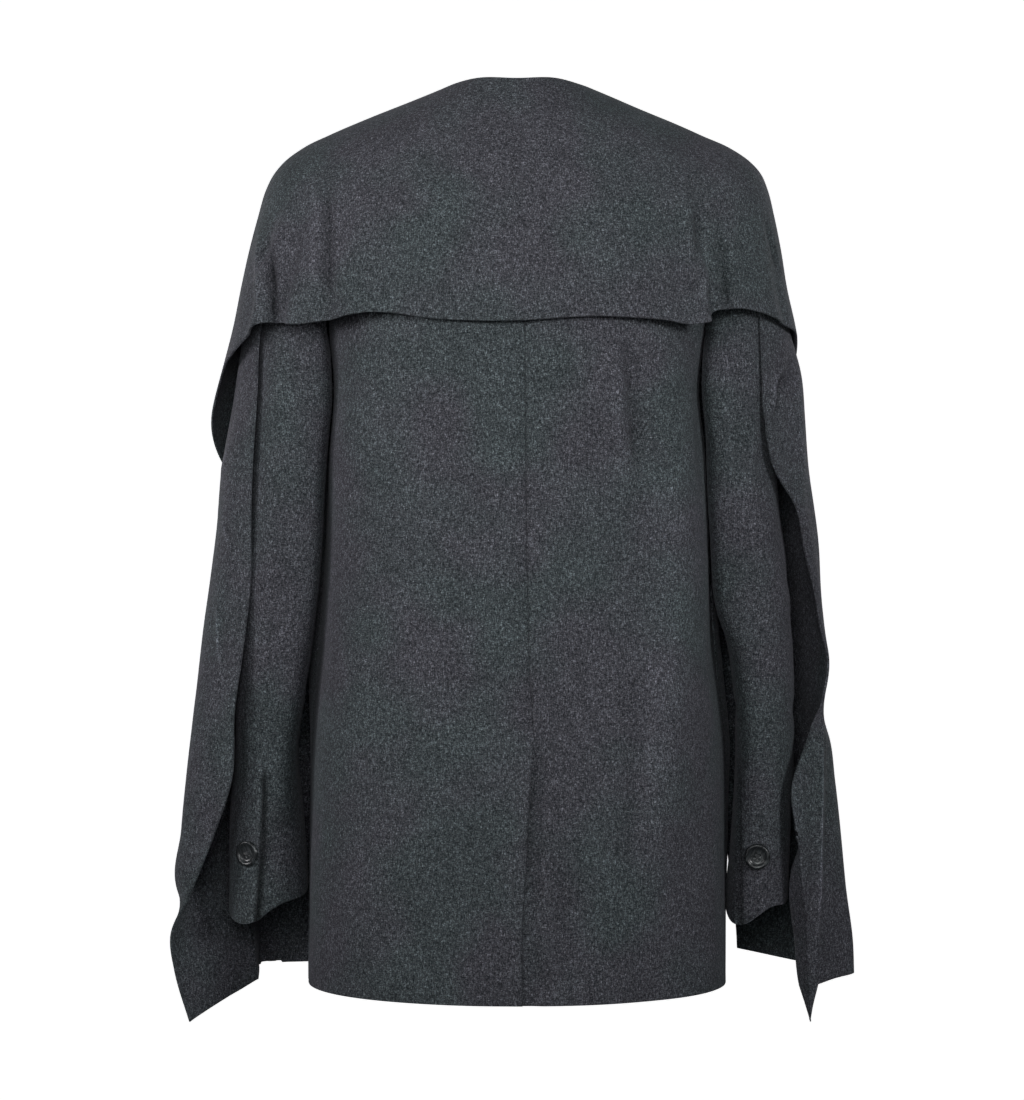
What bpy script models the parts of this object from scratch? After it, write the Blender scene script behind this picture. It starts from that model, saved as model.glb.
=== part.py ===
"""Cape blazer, worn on a hollow general figure: body, two-piece sleeves, capelet and two long cape panels.

Axes: +X is the wearer's left, +Y the back, -Y the front, +Z up. The origin is at the base of the neck,
between the inner ends of the shoulder seams. Tables and sizes are in millimetres; meshes are in metres.
"""

import math

import bmesh
import bpy
import numpy as np
from mathutils import Matrix, Vector

MM = 0.001

# Driving sizes
CLOTH = 2.0                 # thickness of the wool cloth
SHOULDER_INSET = 6          # times further back that a front starts along the shoulder
SEAM_GAP = 0.4              # space between two pieces along a seam
LAP_DROP = 3.4              # how far an under lap lies below the piece over it
NECK_HALF = 59.0            # half-width of the neck opening
BREAK_RUN = 395.0           # where the V neckline meets the closed front, measured down the body
FRONT_LAP = 18.0            # how far each front passes the centre line
FRONT_LAP_RAMP = 14.0       # width over which the under front steps in
VENT_TOP_RUN = 575.0        # top of the centre back vent
VENT_UNDERLAP = 34.0        # width of the vent's under lap
ARMHOLE_TOP_RUN = 135.0
ARMHOLE_END_RUN = 270.0
ARMHOLE_GAP = 2.2           # how far the sleeve's edge stands off the armhole
ARMHOLE_ANGLE = 33.0        # how far the armhole reaches round the body, in degrees
HEM_RUN = 785.0
BUTTON_RADIUS = 10.6
BUTTON_THICK = 3.6
BUTTON_LIFT = 0.6           # thread between a button and the cloth
CUFF_BUTTONS = ((1, 559, 66), (-1, 559, 102))       # side, run and turn on the sleeve
FRONT_BUTTONS = (("front_button_upper", 425), ("front_button_lower", 525))

# Wool colour and button colour, linear
FLANNEL = (0.032, 0.036, 0.038)
HORN = (0.012, 0.013, 0.014)


# ---------------------------------------------------------------- tables

# Body: a ring for each row. run is the distance down the body from the neck edge; z differs at the
# side, the back and the front of a ring near the shoulders; square is the ring's squareness.
BODY_COLUMNS = ("run", "half_width", "back", "front", "z_side", "z_back", "z_front", "square")
BODY_RINGS = (
    (0, 59, 60, 60, -2.8, 4.2, -12, 2.1),           # neck edge
    (40, 97, 76, 76, -18.6, -29, -43, 2.2),
    (80, 134, 90, 90, -34.5, -59, -73, 2.3),
    (135, 184, 105, 102, -62.5, -101, -113, 2.4),   # shoulder point
    (175, 182, 113, 110, -101, -136, -146, 2.45),
    (225, 165, 118.5, 118, -155, -178, -182, 2.5),
    (270, 151.5, 121, 122, -212, -216, -218, 2.5),  # armpit
    (370, 153.5, 119, 124, -312, -316, -316, 2.5),
    (455, 155, 118, 122, -397, -401, -400, 2.5),    # waist
    (525, 158, 122, 124, -467, -471, -469, 2.5),
    (585, 163.5, 127, 127, -527, -532, -529, 2.5),
    (685, 167.5, 132, 130, -627, -632, -628, 2.5),
    (785, 170.5, 135, 132, -727, -733, -728, 2.5),  # hem
)

# Centre back: where the seam lies, and below it the free edge of the vent.
CENTRE_SEAM = ((0, -5), (300, -6.5), (455, -8), (540, -10.5), (575, -13))
VENT_EDGE = ((575, -13), (620, -10), (680, -7), (725, -4.5), (785, -4.5))

# Sleeves: rows from the armhole to the cuff. The outer and inner points lie on the ring's two ends;
# y_mid and depth place it front to back, and drop lowers its back edge.
SLEEVE_COLUMNS = ("run", "outer_x", "outer_z", "inner_x", "inner_z", "y_mid", "depth", "drop", "seam_back")
SLEEVE_LEFT = (
    (28, 197.5, -86, 154, -220, 0, 66, 0, 86),
    (62, 205, -118, 155.5, -236, 0, 65, 0, 86),
    (105, 210.5, -158, 156.5, -256, 1, 64, 0, 87),
    (155, 214, -207, 157.5, -288, 2, 62, 0, 88),
    (215, 218, -267, 159.5, -326, 3, 59, 0, 89),
    (280, 223, -332, 161.5, -369, 3, 56, 0, 90),
    (348, 229, -400, 164.5, -418, 1, 52, 1, 90),
    (418, 231.5, -470, 170.5, -476, -3, 48, 3, 91),
    (485, 232, -537, 178.5, -537, -8, 45, 7, 91),
    (548, 235.5, -600, 175, -594, -10, 43, 13, 87),
    (616, 237, -668, 171, -648, -11, 42, 20, 76),
)
SLEEVE_RIGHT = (
    (28, 197, -86, 154, -220, 0, 66, 0, 92),
    (62, 203, -118, 155.5, -236, 0, 65, 0, 94),
    (105, 207, -158, 156.5, -256, 1, 64, 0, 97),
    (155, 208.5, -207, 157.5, -288, 2, 62, 0, 101),
    (215, 209, -267, 159, -326, 3, 59, 0, 106),
    (280, 214, -332, 160.5, -369, 3, 56, 0, 113),
    (348, 221.5, -400, 163.5, -418, 1, 52, 1, 122),
    (418, 226.5, -470, 175.5, -470, -3, 48, 3, 133),
    (485, 227.5, -537, 179, -537, -8, 45, 7, 142),
    (548, 224, -600, 176, -600, -10, 43, 13, 132),
    (616, 222.5, -656, 170.5, -664, -11, 42, 20, 118),
)
SLEEVE_SEAM_FRONT = -128.0    # the front seam's angle round the sleeve
SLEEVE_SEAM_TURN = 0.55       # half the gap at a sleeve seam, in degrees round the sleeve
SEAM_MARGIN = 3.0             # a narrow column beside each sleeve seam, so both edges face the same way

# Capelet: rings as for the body, with a half-width for each side.
CAPELET_COLUMNS = ("run", "left", "right", "back", "front", "z_side", "z_back", "z_front", "square")
CAPELET_RINGS = (
    (0, 59, 59.9, 63, 63, 0.8, 5.2, -9, 2.1),
    (30, 87.7, 87, 78, 78, -10.7, -18, -31, 2.2),
    (65, 121.4, 119.5, 93, 92, -23.8, -46, -57, 2.3),
    (100, 153.3, 150.5, 105, 103, -36.9, -76, -85, 2.35),
    (128, 175.5, 174.5, 112, 110.5, -47.6, -100, -107, 2.4),
    (143, 188.6, 188, 115.5, 114.5, -57, -113, -119, 2.4),
    (156, 197.6, 197.6, 118, 117.5, -67, -124, -130, 2.4),
    (173, 205, 204.3, 120.5, 120.5, -81, -138, -144, 2.4),
    (197, 211.6, 210.4, 123, 124.5, -104, -157, -163, 2.4),
    (225, 218.1, 215.6, 125.5, 129, -130, -178, -187, 2.4),
    (257, 224.7, 220.4, 128, 132, -160.7, -196, -215, 2.4),
    (290, 231.2, 227, 130.5, 135, -192, -214, -243, 2.4),
    (325, 240, 231.5, 133, 138, -225, -236, -275, 2.4),
    (365, 251.5, 234, 135.5, 141, -267, -270, -312, 2.4),
    (412, 253, 236, 137, 143, -314, -310, -357, 2.4),
)
# Length of the capelet from the neck at each angle round it: 0 the left side, 90 the back.
CAPELET_LENGTH = (
    (-58, 382), (-42, 400), (-25, 404), (-15, 389), (-5, 366), (5, 334), (20, 313), (26, 301),
    (32, 287), (45, 281), (51, 273), (60, 258), (75, 258), (90, 256), (105, 254), (120, 268),
    (127, 277), (130, 276), (134, 266), (139, 267), (145, 273), (152, 281), (160, 290), (180, 304),
    (192, 322), (204, 346), (218, 372), (238, 381),
)
CAPELET_FRONT_LEFT = -58.0
CAPELET_FRONT_RIGHT = 238.0
# In front the capelet starts at the neck end of the shoulder seam and widens: share of its full reach
# past the shoulder line at each run.
CAPELET_FRONT_REACH = ((0, 0.06), (40, 0.26), (100, 0.55), (200, 0.8), (300, 0.94), (382, 1.0))
CAPELET_SHOULDER_LINE = 4.0
# Soft folds of the capelet: angle at the top and hem, run where it starts, half-width, depth (+ is out).
CAPELET_FOLDS = (
    (40, 37.5, 205, 3.2, -7),
    (33, 31, 190, 3.5, 4),
    (52, 50, 150, 4.0, -4),
    (127, 125.5, 150, 3.2, -5),
    (130.5, 129.5, 160, 2.2, 4),
    (134.5, 133, 165, 3.0, -7),
    (157, 159, 180, 3.5, -3),
    (-30, -32, 160, 6.0, -6),
    (212, 214, 160, 6.0, -6),
)

# Long cape panels: level by level, the plan of the sheet from its rear edge round to its front edge.
# Each row: z, then (x, y) for the rear edge, rear, outer, front outer, front and front edge.
PANEL_LEFT = (
    (-205, (208, 52), (220, 30), (225, 2), (220, -37), (203, -64), (178, -72)),
    (-250, (210.6, 53), (226, 29), (231.5, 1), (226, -40), (207, -68), (176, -78)),
    (-312, (214.4, 52), (234.5, 28), (241.5, -2), (233, -45), (210, -73), (174, -84)),
    (-357, (215.4, 50), (237, 28), (245, -2), (236, -47), (210, -77), (173, -88)),
    (-392, (215.4, 49), (240, 28), (249.3, -2), (239, -49), (211, -80), (172, -90)),
    (-453, (221.5, 47), (247, 27), (257.5, -3), (245, -50), (212, -83), (172, -93)),
    (-505, (228.4, 45), (254, 25), (263.8, -4), (249, -52), (213, -85), (172, -95)),
    (-560, (230.5, 43), (259.5, 25), (269.9, -4), (252, -52), (213, -86), (172, -96)),
    (-604, (245, 38), (265.5, 22), (274, -4), (253, -50), (214, -86), (172, -97)),
    (-652, (265.5, 26), (276, 10), (278.5, -10), (248, -45), (213, -86), (172, -98)),
    (-690, (284, 4), (272, -14), (250, -30), (222, -47), (210, -85), (172, -99)),
    (-720, (280.5, 2), (266, -14), (245, -29), (217, -44), (209, -85), (172, -100)),
)
PANEL_LEFT_HEM = (
    (269, 0, -762), (256, -14, -754), (238, -28, -744), (216, -43, -732), (208.5, -85, -719), (172, -100, -711),
)
PANEL_RIGHT = (
    (-205, (197, 60), (217, 33), (225, 6), (215, -37), (197, -64), (178, -72)),
    (-230, (198, 60), (220, 33), (230.4, 6), (218, -38), (199, -67), (178, -76)),
    (-270, (199.5, 59), (224, 33), (234.5, 4), (221, -42), (201, -71), (179, -79)),
    (-308, (207.5, 56), (227, 32), (237.8, 2), (224, -46), (203, -74), (180, -82)),
    (-340, (226, 42), (236, 26), (241.6, 0), (228, -48), (204, -76), (180, -84)),
    (-385, (236, 34), (243, 20), (247.2, -4), (232, -50), (205, -78), (181, -86)),
    (-432, (248, 18), (251.5, 4), (249, -18), (233, -54), (206, -80), (182, -88)),
    (-464, (255.6, 4), (253, -12), (247, -28), (232, -56), (206, -81), (182, -89)),
    (-496, (251, 8), (250, -9), (245, -27), (232, -55), (207, -82), (183, -90)),
    (-530, (237, 30), (252, 16), (256.5, -4), (242, -50), (210, -84), (184, -91)),
    (-565, (223.5, 42), (249, 30), (260.5, -2), (247, -48), (213, -84), (185, -92)),
    (-604, (226.5, 42), (247.5, 30), (264.5, -2), (250, -47), (215, -84), (185, -93)),
    (-650, (234, 38), (245, 29), (269.8, -2), (253, -46), (217, -83), (186, -94)),
    (-692, (240, 34), (244.4, 27), (275, -2), (255, -46), (219, -83), (186, -95)),
)
PANEL_RIGHT_HEM = (
    (240, 34, -760), (244.4, 27, -728), (276, -2, -722), (255, -46, -721), (219, -83, -717), (186, -95, -711),
)
# Top of a long panel: it starts along the armhole seam, over the head of the sleeve.
PANEL_TOP_SLEEVE_RUNS = (10.0, 20.0, 30.0, 42.0, 58.0, 80.0)
PANEL_TOP_KEYS = (0.0, 10.0, 20.0, 32.0, 48.0, 72.0)
PANEL_TOP_ANGLES = (66, 38, 6, -34, -66, -88)
PANEL_STAND_OFF = 4.0
PANEL_KEY_ORIGIN = 65.0
PANEL_HEM_KEY = 34.0

# Columns of a back and a front, from the side seam inwards: narrow beside a seam, closer at a lap.
BACK_COLUMNS = (0, 0.02, 0.13, 0.26, 0.39, 0.52, 0.65, 0.78, 0.89, 0.945, 1.0)
FRONT_COLUMNS = (0, 0.02, 0.13, 0.27, 0.41, 0.54, 0.65, 0.74, 0.80, 0.855, 0.93, 1.0)


# ---------------------------------------------------------------- curves and surfaces

def through(keys, rows, at):
    """Smooth curve through rows of numbers placed at rising keys, read at the values in at."""
    keys = np.asarray(keys, float)
    rows = np.asarray(rows, float)
    at = np.atleast_1d(np.asarray(at, float))
    slopes = np.gradient(rows, keys, axis=0)
    first = np.clip(np.searchsorted(keys, at, side="right") - 1, 0, len(keys) - 2)
    width = keys[first + 1] - keys[first]
    s = (at - keys[first]) / width
    if rows.ndim > 1:
        shape = (-1,) + (1,) * (rows.ndim - 1)
        s = s.reshape(shape)
        width = width.reshape(shape)
    start = (1 + 2 * s) * (1 - s) ** 2 * rows[first] + s * (1 - s) ** 2 * width * slopes[first]
    end = s ** 2 * (3 - 2 * s) * rows[first + 1] + s ** 2 * (s - 1) * width * slopes[first + 1]
    return start + end


def along(pairs, at):
    """Value of a two-column table at one place, smooth between its rows."""
    keys, values = zip(*pairs)
    return float(through(keys, values, min(max(at, keys[0]), keys[-1]))[0])


def ease(value):
    """Smooth step from 0 to 1."""
    value = min(max(value, 0.0), 1.0)
    return value * value * (3 - 2 * value)


def ring_point(row, columns, angle, half_width):
    """Point of a rounded ring: angle 0 is the left side, 90 the back, 180 the right side."""
    size = dict(zip(columns, row))
    c = math.cos(math.radians(angle))
    s = math.sin(math.radians(angle))
    reach = (abs(c) ** size["square"] + abs(s) ** size["square"]) ** (-1 / size["square"])
    depth = size["back"] if s > 0 else size["front"]
    z_end = size["z_back"] if s > 0 else size["z_front"]
    z = size["z_side"] + (z_end - size["z_side"]) * s * s
    return np.array((half_width * reach * c, depth * reach * s, z))


def table_row(table, run):
    """Row of a ring table at a run, smooth between its rows."""
    rows = np.array(table, float)
    return through(rows[:, 0], rows, min(max(run, rows[0, 0]), rows[-1, 0]))[0]


def body_point(angle, run):
    """Point of the body's outer face."""
    row = table_row(BODY_RINGS, run)
    return ring_point(row, BODY_COLUMNS, angle, row[1])


def body_angle(x, run, front=False):
    """Angle round the body at which its outer face has this x."""
    row = table_row(BODY_RINGS, run)
    share = min(max(x / row[1], -1.0), 1.0)
    depth = (1 - abs(share) ** row[7]) ** (1 / row[7])
    angle = math.degrees(math.atan2(depth, share))
    return -angle if front else angle


def capelet_point(angle, run):
    """Point of the capelet's outer face, with its soft folds."""
    row = table_row(CAPELET_RINGS, run)
    left, right = row[1], row[2]
    half_width = left if math.cos(math.radians(angle)) > 0 else right
    point = ring_point(row, CAPELET_COLUMNS, angle, half_width)
    outward = np.array((math.cos(math.radians(angle)), math.sin(math.radians(angle)), 0.0))
    for top_angle, hem_angle, start, spread, depth in CAPELET_FOLDS:
        share = ease((run - start) / 110.0)
        centre = top_angle + (hem_angle - top_angle) * share
        point = point + outward * depth * share * math.exp(-((angle - centre) / spread) ** 2)
    return point


def armhole_point(turn, side):
    """Point on the armhole: turn 0 is its top, 90 its back, 180 the armpit. side is 1 left, -1 right."""
    middle = (ARMHOLE_TOP_RUN + ARMHOLE_END_RUN) / 2
    half = (ARMHOLE_END_RUN - ARMHOLE_TOP_RUN) / 2
    run = middle - half * math.cos(math.radians(turn))
    point = body_point(ARMHOLE_ANGLE * math.sin(math.radians(turn)), run)
    return point * np.array((side, 1, 1))


def sleeve_rows(turn, side):
    """Points of one line down the sleeve, a point for the armhole and for each row of its table."""
    table = SLEEVE_LEFT if side > 0 else SLEEVE_RIGHT
    c = math.cos(math.radians(turn))
    s = math.sin(math.radians(turn))
    start = armhole_point(turn, side) * np.array((side, 1, 1)) + np.array((ARMHOLE_GAP, 0, 0))
    points = [start]
    for row in table:
        size = dict(zip(SLEEVE_COLUMNS, row))
        x = (size["outer_x"] + size["inner_x"]) / 2 + (size["outer_x"] - size["inner_x"]) / 2 * c
        z = (size["outer_z"] + size["inner_z"]) / 2 + (size["outer_z"] - size["inner_z"]) / 2 * c
        points.append(np.array((x, size["y_mid"] + size["depth"] * s, z - size["drop"] * s)))
    return [point * np.array((side, 1, 1)) for point in points]


def sleeve_point(turn, run, side):
    """Point of the sleeve's outer face: turn 0 is its outer side, 90 its back."""
    table = SLEEVE_LEFT if side > 0 else SLEEVE_RIGHT
    keys = [0] + [row[0] for row in table]
    return through(keys, sleeve_rows(turn, side), run)[0]


def sleeve_seam(run, side):
    """Turn of the sleeve's back seam at a run."""
    table = SLEEVE_LEFT if side > 0 else SLEEVE_RIGHT
    return along([(row[0], row[8]) for row in table], run)


def normal_of(surface, a, b, step=0.5):
    """Outward direction of a surface at (a, b)."""
    across = surface(a + step, b) - surface(a - step, b)
    down = surface(a, b + step) - surface(a, b - step)
    normal = np.cross(down, across)
    return normal / np.linalg.norm(normal)


# ---------------------------------------------------------------- meshes

def new_material(name, colour, roughness):
    material = bpy.data.materials.new(name)
    material.use_nodes = True
    shader = material.node_tree.nodes["Principled BSDF"]
    shader.inputs["Base Color"].default_value = (*colour, 1.0)
    shader.inputs["Roughness"].default_value = roughness
    shader.inputs["Metallic"].default_value = 0.0
    return material


def cloth_from_grid(name, grid, collection, keep=None, flip=False):
    """Cloth piece from rows of outer-face points, thickened inwards."""
    mesh = bpy.data.meshes.new(name)
    work = bmesh.new()
    verts = [[work.verts.new(Vector(point) * MM) for point in row] for row in grid]
    for i in range(len(grid) - 1):
        for j in range(len(grid[0]) - 1):
            if keep is not None and not keep(i, j):
                continue
            corners = [verts[i][j], verts[i + 1][j], verts[i + 1][j + 1], verts[i][j + 1]]
            work.faces.new(corners[::-1] if flip else corners)
    loose = [vert for vert in work.verts if not vert.link_faces]
    bmesh.ops.delete(work, geom=loose, context="VERTS")
    work.to_mesh(mesh)
    work.free()
    mesh.materials.append(new_material(name + "_cloth", FLANNEL, 0.92))
    mesh.shade_smooth()
    piece = bpy.data.objects.new(name, mesh)
    collection.objects.link(piece)
    shell = piece.modifiers.new("Cloth", "SOLIDIFY")
    shell.thickness = CLOTH * MM
    shell.offset = -1.0
    shell.use_even_offset = False
    return piece


def make_button(name, place, outward, radius, collection):
    """Turned button with a rim and a dished middle, its back on the given place."""
    profile = ((0.0, 2.1), (0.55, 2.1), (0.72, 3.3), (0.86, 3.6), (1.0, 2.4), (0.95, 0.9), (0.75, 0.0), (0.0, 0.0))
    mesh = bpy.data.meshes.new(name)
    work = bmesh.new()
    points = [work.verts.new((share * radius * MM, 0, height * BUTTON_THICK / 3.6 * MM))
              for share, height in profile]
    for first, second in zip(points, points[1:]):
        work.edges.new((first, second))
    work.to_mesh(mesh)
    work.free()
    mesh.materials.append(new_material(name + "_horn", HORN, 0.25))
    button = bpy.data.objects.new(name, mesh)
    collection.objects.link(button)
    turn = button.modifiers.new("Turned", "SCREW")
    turn.axis = "Z"
    turn.steps = 16
    turn.render_steps = 16
    turn.use_merge_vertices = True
    turn.merge_threshold = 0.0001
    turn.use_smooth_shade = True
    facing = Vector(outward).normalized()
    button.matrix_world = Matrix.Translation(Vector(place) * MM) @ facing.to_track_quat("Z", "Y").to_matrix().to_4x4()
    return button


# ---------------------------------------------------------------- pieces

def edge_angle(run):
    """Angle where a back or front panel starts: the shoulder or side seam, or the armhole."""
    middle = (ARMHOLE_TOP_RUN + ARMHOLE_END_RUN) / 2
    half = (ARMHOLE_END_RUN - ARMHOLE_TOP_RUN) / 2
    share = 1 - ((run - middle) / half) ** 2
    return ARMHOLE_ANGLE * math.sqrt(share) if share > 0 else 0.0


def seam_inset(angle, run, toward):
    """Angle moved half the seam gap towards the piece's inside."""
    step = 0.5
    length = np.linalg.norm(body_point(angle + step, run) - body_point(angle - step, run)) / (2 * step)
    return angle + toward * SEAM_GAP / 2 / length


def sunk(angle, run, depth):
    """Point of the body moved inwards by a depth."""
    point = body_point(angle, run)
    if depth == 0:
        return point
    return point - normal_of(body_point, angle, run) * depth


def back_runs():
    """Rows of the back: closer round the armhole, and one at the vent's top."""
    shoulder = [0, 45, 90, ARMHOLE_TOP_RUN]
    middle = (ARMHOLE_TOP_RUN + ARMHOLE_END_RUN) / 2
    half = (ARMHOLE_END_RUN - ARMHOLE_TOP_RUN) / 2
    armhole = [middle - half * math.cos(math.radians(turn)) for turn in (25, 55, 90, 125, 155)]
    side = [ARMHOLE_END_RUN, 320, 370, 420, 470, 525]
    vent = [VENT_TOP_RUN, 600, 640, 690, 740, HEM_RUN]
    return shoulder + armhole + side + vent


def make_back(side, collection):
    """Back panel: over lap at the vent on the left, under lap on the right."""
    runs = back_runs()
    columns = len(BACK_COLUMNS) - 1
    grid = []
    for run in runs:
        outer = seam_inset(edge_angle(run), run, 1)
        if run <= VENT_TOP_RUN:
            edge_x = along(CENTRE_SEAM, run)
        else:
            edge_x = along(VENT_EDGE, run)
        centre = body_angle(edge_x, run)
        if side > 0:
            inner = seam_inset(centre, run, -1)
            grid.append([body_point(outer + (inner - outer) * share, run) for share in BACK_COLUMNS])
            continue
        outer = 180 - outer
        ramp = run >= VENT_TOP_RUN
        seam = body_angle(edge_x - (12 if ramp else 0), run) if ramp else seam_inset(centre, run, 1)
        if not ramp:
            row = [body_point(outer + (seam - outer) * share, run) for share in BACK_COLUMNS]
            row += [row[-1]] * 2
        else:
            top = run == VENT_TOP_RUN
            edge = seam_inset(centre, run, 1) if top else body_angle(edge_x - 1.5, run)
            row = []
            for j, share in enumerate(BACK_COLUMNS):
                depth = 0.0 if top else LAP_DROP * ease((j - columns + 2) / 2)
                row.append(sunk(outer + (edge - outer) * share, run, depth))
            for reach in (0.45, 1.0):
                angle = body_angle(edge_x + reach * VENT_UNDERLAP, run)
                row.append(sunk(angle, run, LAP_DROP))
        grid.append(row)

    first_vent_row = runs.index(VENT_TOP_RUN) + 1

    def keep(i, j):
        return j < columns or i >= first_vent_row

    name = "back_left" if side > 0 else "back_right"
    return cloth_from_grid(name, grid, collection, keep=keep if side < 0 else None, flip=side < 0)


def neckline_x(run):
    """Distance of the neckline or front edge from the centre line; below the break it has passed it."""
    if run >= BREAK_RUN:
        return -FRONT_LAP
    return NECK_HALF - (NECK_HALF + FRONT_LAP) * run / BREAK_RUN


def make_front(side, collection):
    """Front panel from the shoulder seam to the hem. The right front laps over the left."""
    turns = (0, 5, 24, 45, 68, 90, 112, 135, 158, 180)
    side_runs = (320, 370, 420, 470, 525, 585, 640, 700, 745, HEM_RUN)
    edge_runs = [0, 6] + list(np.linspace(36, BREAK_RUN, len(turns) + 1))
    edge_runs += [440, 500, 560, 610, 660, 705, 745, HEM_RUN]
    middle = (ARMHOLE_TOP_RUN + ARMHOLE_END_RUN) / 2
    half = (ARMHOLE_END_RUN - ARMHOLE_TOP_RUN) / 2
    outer = [(-ARMHOLE_ANGLE * math.sin(math.radians(t)), middle - half * math.cos(math.radians(t)))
             for t in turns]
    outer += [(0.0, run) for run in side_runs]
    count = len(outer)
    edge_runs = np.interp(np.linspace(0, 1, count), np.linspace(0, 1, len(edge_runs)), edge_runs)
    grid = []
    for (outer_angle, outer_run), edge_run in zip(outer, edge_runs):
        edge = body_angle(neckline_x(edge_run), edge_run, front=True)
        row = []
        for share in FRONT_COLUMNS:
            run = outer_run + (edge_run - outer_run) * share
            angle = outer_angle + (edge - outer_angle) * share
            inset = SHOULDER_INSET if run < ARMHOLE_TOP_RUN else 1
            angle = min(angle, seam_inset(0.0, run, -inset))
            point = body_point(angle, run)
            if side > 0:
                past = (-neckline_x(min(run, BREAK_RUN)) + FRONT_LAP_RAMP - point[0]) / FRONT_LAP_RAMP
                point = sunk(angle, run, LAP_DROP * ease(past))
            row.append(point * np.array((side, 1, 1)))
        grid.append(row)
    name = "front_left" if side > 0 else "front_right"
    return cloth_from_grid(name, grid, collection, flip=side > 0)


def make_sleeve(side, collection):
    """Two-piece sleeve: an upper piece and an under piece, with a seam at the back and one in front."""
    table = SLEEVE_LEFT if side > 0 else SLEEVE_RIGHT
    runs = sorted([0, 14, 45, 84, 130, 185, 248, 582] + [row[0] for row in table])
    gap = SLEEVE_SEAM_TURN
    word = "left" if side > 0 else "right"
    pieces = (("upper_sleeve_", 10, lambda seam: (SLEEVE_SEAM_FRONT + gap, seam - gap)),
              ("under_sleeve_", 7, lambda seam: (seam + gap, 360 + SLEEVE_SEAM_FRONT - gap)))
    made = []
    for prefix, columns, limits in pieces:
        grid = []
        for run in runs:
            low, high = limits(sleeve_seam(run, side))
            turns = [low + (high - low) * j / columns for j in range(columns + 1)]
            turns = [low, low + SEAM_MARGIN] + turns[1:-1] + [high - SEAM_MARGIN, high]
            grid.append([sleeve_point(turn, run, side) for turn in turns])
        made.append(cloth_from_grid(prefix + word, grid, collection, flip=side < 0))
    return made


def capelet_angle(angle, run):
    """Angle of a column at a run: the columns past the shoulder line close up towards the neck."""
    reach = along(CAPELET_FRONT_REACH, run)
    if angle < -CAPELET_SHOULDER_LINE:
        return -CAPELET_SHOULDER_LINE + (angle + CAPELET_SHOULDER_LINE) * reach
    if angle > 180 + CAPELET_SHOULDER_LINE:
        return 180 + CAPELET_SHOULDER_LINE + (angle - 180 - CAPELET_SHOULDER_LINE) * reach
    return angle


def make_capelet(collection):
    """Capelet over the shoulders, open in front."""
    shares = (0, 0.09, 0.19, 0.29, 0.38, 0.45, 0.51, 0.57, 0.65, 0.74, 0.83, 0.91, 1.0)
    angles = list(np.linspace(CAPELET_FRONT_LEFT, 20, 12)) + [26, 32, 36, 40, 45, 51, 56, 62, 70, 80, 90, 100]
    angles += [110, 118, 123, 126.5, 130, 134, 139, 145, 152, 160]
    angles += list(np.linspace(168, CAPELET_FRONT_RIGHT, 10))
    grid = []
    for share in shares:
        runs = [share * along(CAPELET_LENGTH, angle) for angle in angles]
        grid.append([capelet_point(capelet_angle(angle, run), run) for angle, run in zip(angles, runs)])
    return cloth_from_grid("capelet", grid, collection, flip=False)


def make_panel(side, collection):
    """Long cape panel that hangs from the armhole seam, round the outside of the sleeve."""
    table = PANEL_LEFT if side > 0 else PANEL_RIGHT
    hem = PANEL_LEFT_HEM if side > 0 else PANEL_RIGHT_HEM
    mirror = np.array((side, 1, 1))

    def sleeve_here(turn, run):
        return sleeve_point(turn, run, side) * mirror

    rows = []
    keys = []
    for run in PANEL_TOP_SLEEVE_RUNS:
        row = []
        for turn in PANEL_TOP_ANGLES:
            row.append(sleeve_here(turn, run) + normal_of(sleeve_here, turn, run) * PANEL_STAND_OFF)
        rows.append(row)
    keys += PANEL_TOP_KEYS
    for level in table:
        rows.append([np.array((x, y, level[0])) for x, y in level[1:]])
        keys.append(-level[0] - PANEL_KEY_ORIGIN)
    rows.append([np.array(point) for point in hem])
    keys.append(keys[-1] + PANEL_HEM_KEY)
    rows = np.array(rows)
    levels = np.concatenate((keys[:7], np.linspace(keys[6], keys[-1], 19)[1:]))
    lines = through(keys, rows, levels)
    columns = np.linspace(0, 5, 13)
    grid = [through(range(6), line, columns) * mirror for line in lines]
    name = "cape_panel_left" if side > 0 else "cape_panel_right"
    return cloth_from_grid(name, grid, collection, flip=side > 0)


def button_on_sleeve(side, run, turn, collection):
    """Cuff button, lying on the sleeve."""
    def surface(a, b):
        return sleeve_point(a, b, side)

    outward = normal_of(surface, turn, run) * side
    place = surface(turn, run) + outward * BUTTON_LIFT
    return make_button("cuff_button_left" if side > 0 else "cuff_button_right", place, outward,
                       BUTTON_RADIUS, collection)


def button_on_front(name, run, collection):
    """Front button on the centre line of the over lap."""
    outward = normal_of(body_point, -90.0, run)
    return make_button(name, body_point(-90.0, run) + outward * BUTTON_LIFT, outward, BUTTON_RADIUS, collection)


def main():
    for thing in list(bpy.data.objects):
        bpy.data.objects.remove(thing, do_unlink=True)
    blazer = bpy.data.collections.new("cape_blazer")
    bpy.context.scene.collection.children.link(blazer)
    for side in (1, -1):
        make_back(side, blazer)
        make_front(side, blazer)
        make_sleeve(side, blazer)
        make_panel(side, blazer)
    make_capelet(blazer)
    for side, run, turn in CUFF_BUTTONS:
        button_on_sleeve(side, run, turn, blazer)
    for name, run in FRONT_BUTTONS:
        button_on_front(name, run, blazer)
    bpy.context.view_layer.update()


main()
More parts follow.
